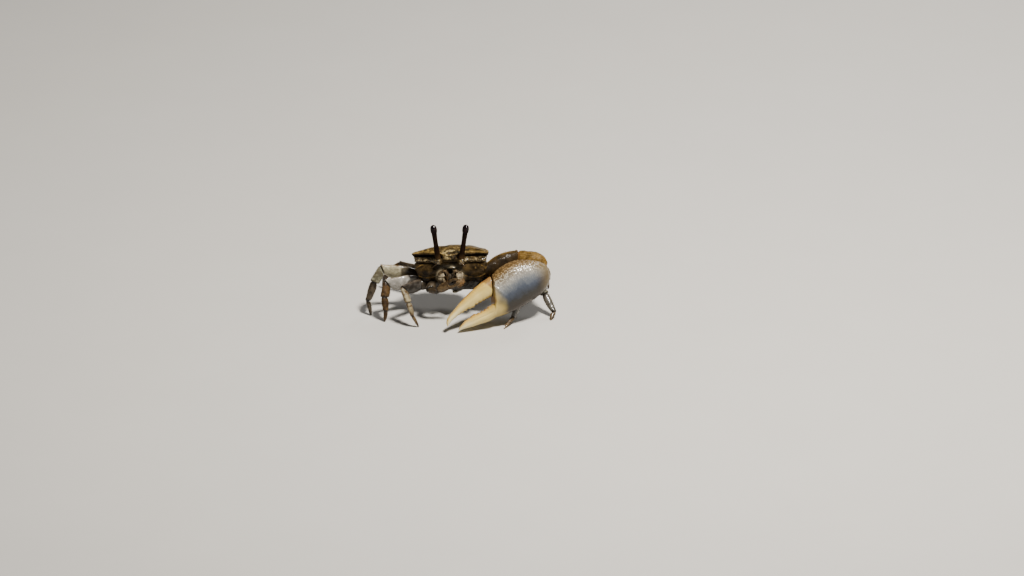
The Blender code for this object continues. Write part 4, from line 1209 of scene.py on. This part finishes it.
def carapaceSkin():
    # Dome rings, each a shrunken brow outline raised by dome (1 - share^2.6), then the outlines of
    # the face and flanks. Rims, ridges, furrows, warts and the mouth are moves along the normals.
    plan = carapace
    share = np.concatenate([np.linspace(0.02, 0.85, 80), np.linspace(0.86, 0.995, 40)])[:, None]
    brow = outlines(np.array([0.0]))[0]
    x, y = brow[:, 0] * share, plan["domeCentre"] + (brow[:, 1] - plan["domeCentre"]) * share
    z = plan["dome"] * (1 - share**2.6) - noseDropAt(x, y) - grooves(x, y)
    top = np.stack([x, y, z], axis=-1)
    level = np.concatenate([np.linspace(0, -3.4, 90), np.linspace(-3.45, plan["split"], 66)])
    wall = outlines(level)
    wallZ = level[:, None] - noseDropAt(wall[..., 0], wall[..., 1]) * riseTo(-3, 0, level)[:, None]
    grid = np.concatenate([top, np.concatenate([wall, wallZ[..., None]], axis=-1)])
    down = np.concatenate([np.full(len(share), 1.0), level])[:, None]  # over zero on the dome
    out = np.concatenate([share[:, 0], np.full(len(level), 2.0)])[:, None]
    depth = -down
    x, y, z = grid[..., 0], grid[..., 1], grid[..., 2]
    side = np.abs(x)
    onTop = down > 0
    ahead = riseTo(3.5, 5.5, -y)
    nearFront = riseTo(4, 5, -y)
    overMouth = (1 - riseTo(2.3, 3.0, side)) * nearFront
    # warts on the back, larger towards its front corners and along the rims
    warts = beadHeight(grid, plan["beadSize"], seed=2.0)
    coarse = 0.5 + 0.9 * riseTo(8.2, 9.6, side) + 0.5 * ahead
    lift = plan["beadHeight"] * warts * coarse + 0.02 * beadHeight(grid, 0.32, seed=6.0)
    lift += waves(grid, 2.4, seed=5.0) * 0.16 * onTop
    # raised brow rim, a beaded line along the flank's edge and the ridge inside the brow
    rim = hump(out, 0.985, 0.02) * onTop + hump(down, 0.0, 0.16) * ~onTop
    lift += rim * (0.11 + 0.04 * np.cos((x * 0.6 + y) * 2 * math.pi / 0.55))
    ridge = hump(out, 0.915, 0.022) * ahead * onTop
    ridge = ridge * riseTo(3.0, 4.2, side) * (1 - riseTo(8.8, 10.2, side))
    lift += 0.13 * ridge
    # the band below the orbit, with its row of small teeth, and a furrow under it
    teeth = np.abs(np.cos(x * math.pi / 0.62)) ** 0.7
    lift += 0.07 * hump(depth, 0.30, 0.07) * ahead
    lift += (0.05 + 0.15 * teeth) * hump(depth, 1.30, 0.13) * ahead * riseTo(2.6, 3.6, side)
    lift += 0.10 * beadHeight(grid, 0.75, seed=9.0) * hump(depth, 2.0, 0.6) * ahead
    dip = depth - 0.05 * (side - 6.5) ** 2 * (side < 6.5) + 0.10 * np.maximum(0, side - 7.5)
    furrowed = hump(dip, 2.85, 0.17) * ahead * riseTo(2.6, 3.6, side)
    lift -= 0.36 * furrowed
    # a swelling at the root of each eyestalk
    lift += 1.25 * hump(side, 3.5, 1.0) * hump(depth, 2.35, 0.75) * ahead * (depth > 0.7)
    # the cheek's full oval and the fine raised line round it
    oval = np.sqrt(((side - 6.9) / 3.5) ** 2 + ((depth - 5.15) / 1.95) ** 2)
    lift += 0.24 * (1 - riseTo(0.2, 1.0, oval)) * ahead * (depth > 2.5)
    line = hump(oval, 1.03, 0.045) * riseTo(-0.6, 0.3, depth - 5.0 + (side - 6.0) * 0.8) * ahead
    lift += 0.13 * line
    # the lobe's middle furrow, the line over the mouth and the mouth frame's raised edge
    lift -= 0.14 * hump(x, 0.0, 0.26) * riseTo(6.2, 7.4, -y) * (1 - riseTo(1.2, 2.2, depth))
    lift += (0.16 * hump(depth, 2.2, 0.10) - 0.22 * hump(depth, 2.65, 0.16)) * overMouth
    mouthOval = np.sqrt((x / 3.45) ** 2 + ((z + 7.4) / 3.05) ** 2)
    lift += 0.25 * hump(mouthOval, 1.08, 0.06) * nearFront * (depth > 3)
    grid, mouth = hollowed(raised(grid, lift))
    # the grooves painted dark as shade; the spot between the eyes is a painted eyestalk shadow
    furrow = np.where(onTop, np.clip(grooves(x, y) * 3, 0, 1), 0)
    # the orbit's trough and the furrow under the band are painted dark as shade
    orbit = riseTo(0.38, 0.6, depth) * (1 - riseTo(1.0, 1.25, depth))
    orbit = orbit * ahead * riseTo(2.2, 3.2, side)
    masks = {
        "top": onTop,
        # the ridge's pale colour is partly a painted highlight line
        "rim": np.maximum(rim * (0.45 + 0.55 * onTop), ridge),
        "furrow": furrow,
        "orbit": np.maximum(orbit, furrowed * 0.9),
        "lobe": hump(x, 0.0, 2.3) * riseTo(5.5, 7.0, -y) * (1 - riseTo(1.3, 1.9, depth)),
        "line": line,
        "mouth": mouth,
        "warts": warts,
        "band": hump(depth, 1.9, 0.6) * ahead * riseTo(2.4, 3.4, side),
        "frame": hump(mouthOval, 1.12, 0.16) * nearFront * (depth > 3),
    }
    return domedMesh("carapace_skin", grid, masks, 0.0, 0.05, fromBody)


def backShell():
    # olive-brown marbled with dark brown and pale yellow veins, wet; orbits, grooves and the mouth's
    # hollow painted dark as shade, and pale painted highlights on the band, the ridge and the lobe
    paint = Paint("carapaceShell")
    place = paint.place(turn=(0.26, 0.087, 0.157))
    lobe, band = paint.mask("lobe"), paint.mask("band")
    warp = paint.noise(place, 210.0, 3.0, 0.6)
    marble = paint.noise(place, 420.0, 6.0, 0.68)
    curls = paint.noise(paint.warped(place, 600.0, 0.0012), 430.0, 2.0, 0.5)
    stains = paint.noise(place, 1300.0, 4.0, 0.7)
    pores = paint.cells(place, 3600.0)
    # a curl is where the bent noise passes 0.5
    away = paint.node("Math", {"operation": "ABSOLUTE"}, {0: curls - 0.5})
    veining = (1 - away.step(0.008, 0.040)) * stains.step(0.34, 0.62)
    over = paint.layered(
        (0.008, 0.005, 0.0015),
        (marble.step(0.36, 0.62), (0.054, 0.031, 0.008)),
        (warp.step(0.5, 0.68) * 0.5, (0.115, 0.071, 0.018)),
        # pale veins, stronger on the lobe partly as a painted highlight
        (veining * (0.5 + lobe * 0.4), (0.46, 0.31, 0.09)),
        (paint.mask("warts").step(0.4, 0.9) * 0.3, (0.28, 0.20, 0.09)),
        # painted shade in the grooves and a painted eyestalk shadow between the eyes
        (paint.mask("furrow") * 0.75, (0.016, 0.010, 0.005)),
        # golden rims, and the ridge inside the brow painted pale partly as a highlight line
        (paint.mask("rim") * stains.step(0.3, 0.6) * 0.8, (0.34, 0.22, 0.065)),
        # the lobe's golden curls, made paler as a painted highlight
        (lobe * stains.step(0.36, 0.6) * curls.step(0.38, 0.5) * 0.7, (0.56, 0.45, 0.22)),
    )
    under = paint.layered(
        (0.008, 0.005, 0.002),
        (marble.step(0.36, 0.66), (0.062, 0.039, 0.015)),
        (stains.step(0.60, 0.76) * 0.55, (0.23, 0.145, 0.05)),
        # pale specks on the band below the orbit: painted glints of the wet shell
        (band * stains.step(0.45, 0.66) * 0.7, (0.50, 0.38, 0.19)),
    )
    colour = paint.layered(
        under,
        (paint.node("Math", {"operation": "MAXIMUM"}, {0: paint.mask("top"), 1: lobe}), over),
        (paint.mask("line") * stains.step(0.35, 0.6) * 0.8, (0.34, 0.20, 0.05)),
        (paint.mask("frame") * warp.step(0.3, 0.6) * 0.75, (0.42, 0.36, 0.24)),
        # painted shade: the orbits and the furrow under the band nearly black
        (paint.mask("orbit") * 0.8, (0.016, 0.010, 0.006)),
        # the mouth's hollow painted nearly black as shade
        (paint.mask("mouth") * 0.92, (0.010, 0.006, 0.004)),
    )
    height = marble * 0.35 + stains * 0.4 + pores * 0.4
    rough = 0.30 + stains * 0.22 + paint.mask("mouth") * 0.2 - band * 0.12
    wet = 0.12 + band * 0.7 + lobe * 0.4
    return paint.finished(colour, rough, (height, 0.00007, 0.75), (wet, 0.05), 0.06)


def sternumSkin():
    # The body's outline carried down and drawn in to a keel by 0.98 - 0.30 share^1.6, with a
    # furrow between each two plates and the mouth's hollow in front
    top, bottom = carapace["split"] - stance["gap"], carapace["floor"]
    middle = np.array([0.0, -0.6, bottom])
    share = np.linspace(0, 1, 70)[:, None]
    ring = outlines(np.array([top]))[0]
    inset = (0.98 - 0.30 * share**1.6)[..., None]
    height = top + (bottom - top) * share
    drawnIn = middle[:2] + (ring - middle[:2]) * inset
    wall = np.concatenate([drawnIn, np.broadcast_to(height, drawnIn.shape[:2])[..., None]], axis=-1)
    inward = np.linspace(1, 0.02, 60)[1:, None, None]
    grid = np.concatenate([wall, middle + (wall[-1] - middle) * inward])
    side, y = np.abs(grid[..., 0]), grid[..., 1]
    lines = riseTo(0.86, 0.99, np.cos((y * 0.9 + side * 0.35 + 0.6) * 2 * math.pi / 2.5))
    lift = 0.03 * beadHeight(grid, 0.45, seed=4.0) + waves(grid, 1.8, seed=8.0) * 0.1
    grid, mouth = hollowed(raised(grid, lift - 0.22 * lines * riseTo(1.4, 2.6, side)))
    # the mouth's hollow is carried as joint, so the sternum is painted dark there as shade
    return closedMesh("sternum_skin", fromBody(grid), {"edge": lines * 0.5, "joint": mouth})


abdomen = {
    "path": ((0, 6.65, -6.3), (0, 6.6, -7.6), (0, 6.35, -9.0), (0, 5.5, -10.7), (0, 3.9, -11.85),
             (0, 1.4, -12.1), (0, -1.9, -12.1)),
    "wide": [0.38] * 7,
    "thick": (3.3, 3.2, 3.0, 2.6, 2.0, 1.5, 0.7),
    "thickAxis": (1, 0, 0),
    "rows": 150, "columns": 90, "squareness": 2.8,
}


def abdomenSkin():
    # the narrow tail under the body: a flat horn with a furrow and a lip at each segment's end
    grid, along, angle = hornGrid(**abdomen)
    phase = (along * len(abdomen["path"])) % 1
    seams = hump(phase, 0.97, 0.05) * (along < 0.97)
    lift = 0.05 * riseTo(0.75, 0.93, phase) - 0.10 * seams
    grid = raised(grid, lift + waves(grid, 1.2, seed=3.0) * 0.05)
    masks = {"edge": np.abs(np.sin(angle)) ** 10, "joint": seams * 0.8}
    return domedMesh("abdomen_skin", grid, masks, 0.1, 0.15, fromBody)


piece(carapaceSkin(), backShell(), "carapace_shell", "carapace")
piece(sternumSkin(), legShells["legSlate"], "leg_shell", "sternum")
piece(abdomenSkin(), legShells["legOlive"], "leg_shell", "abdomen")
print("body made")
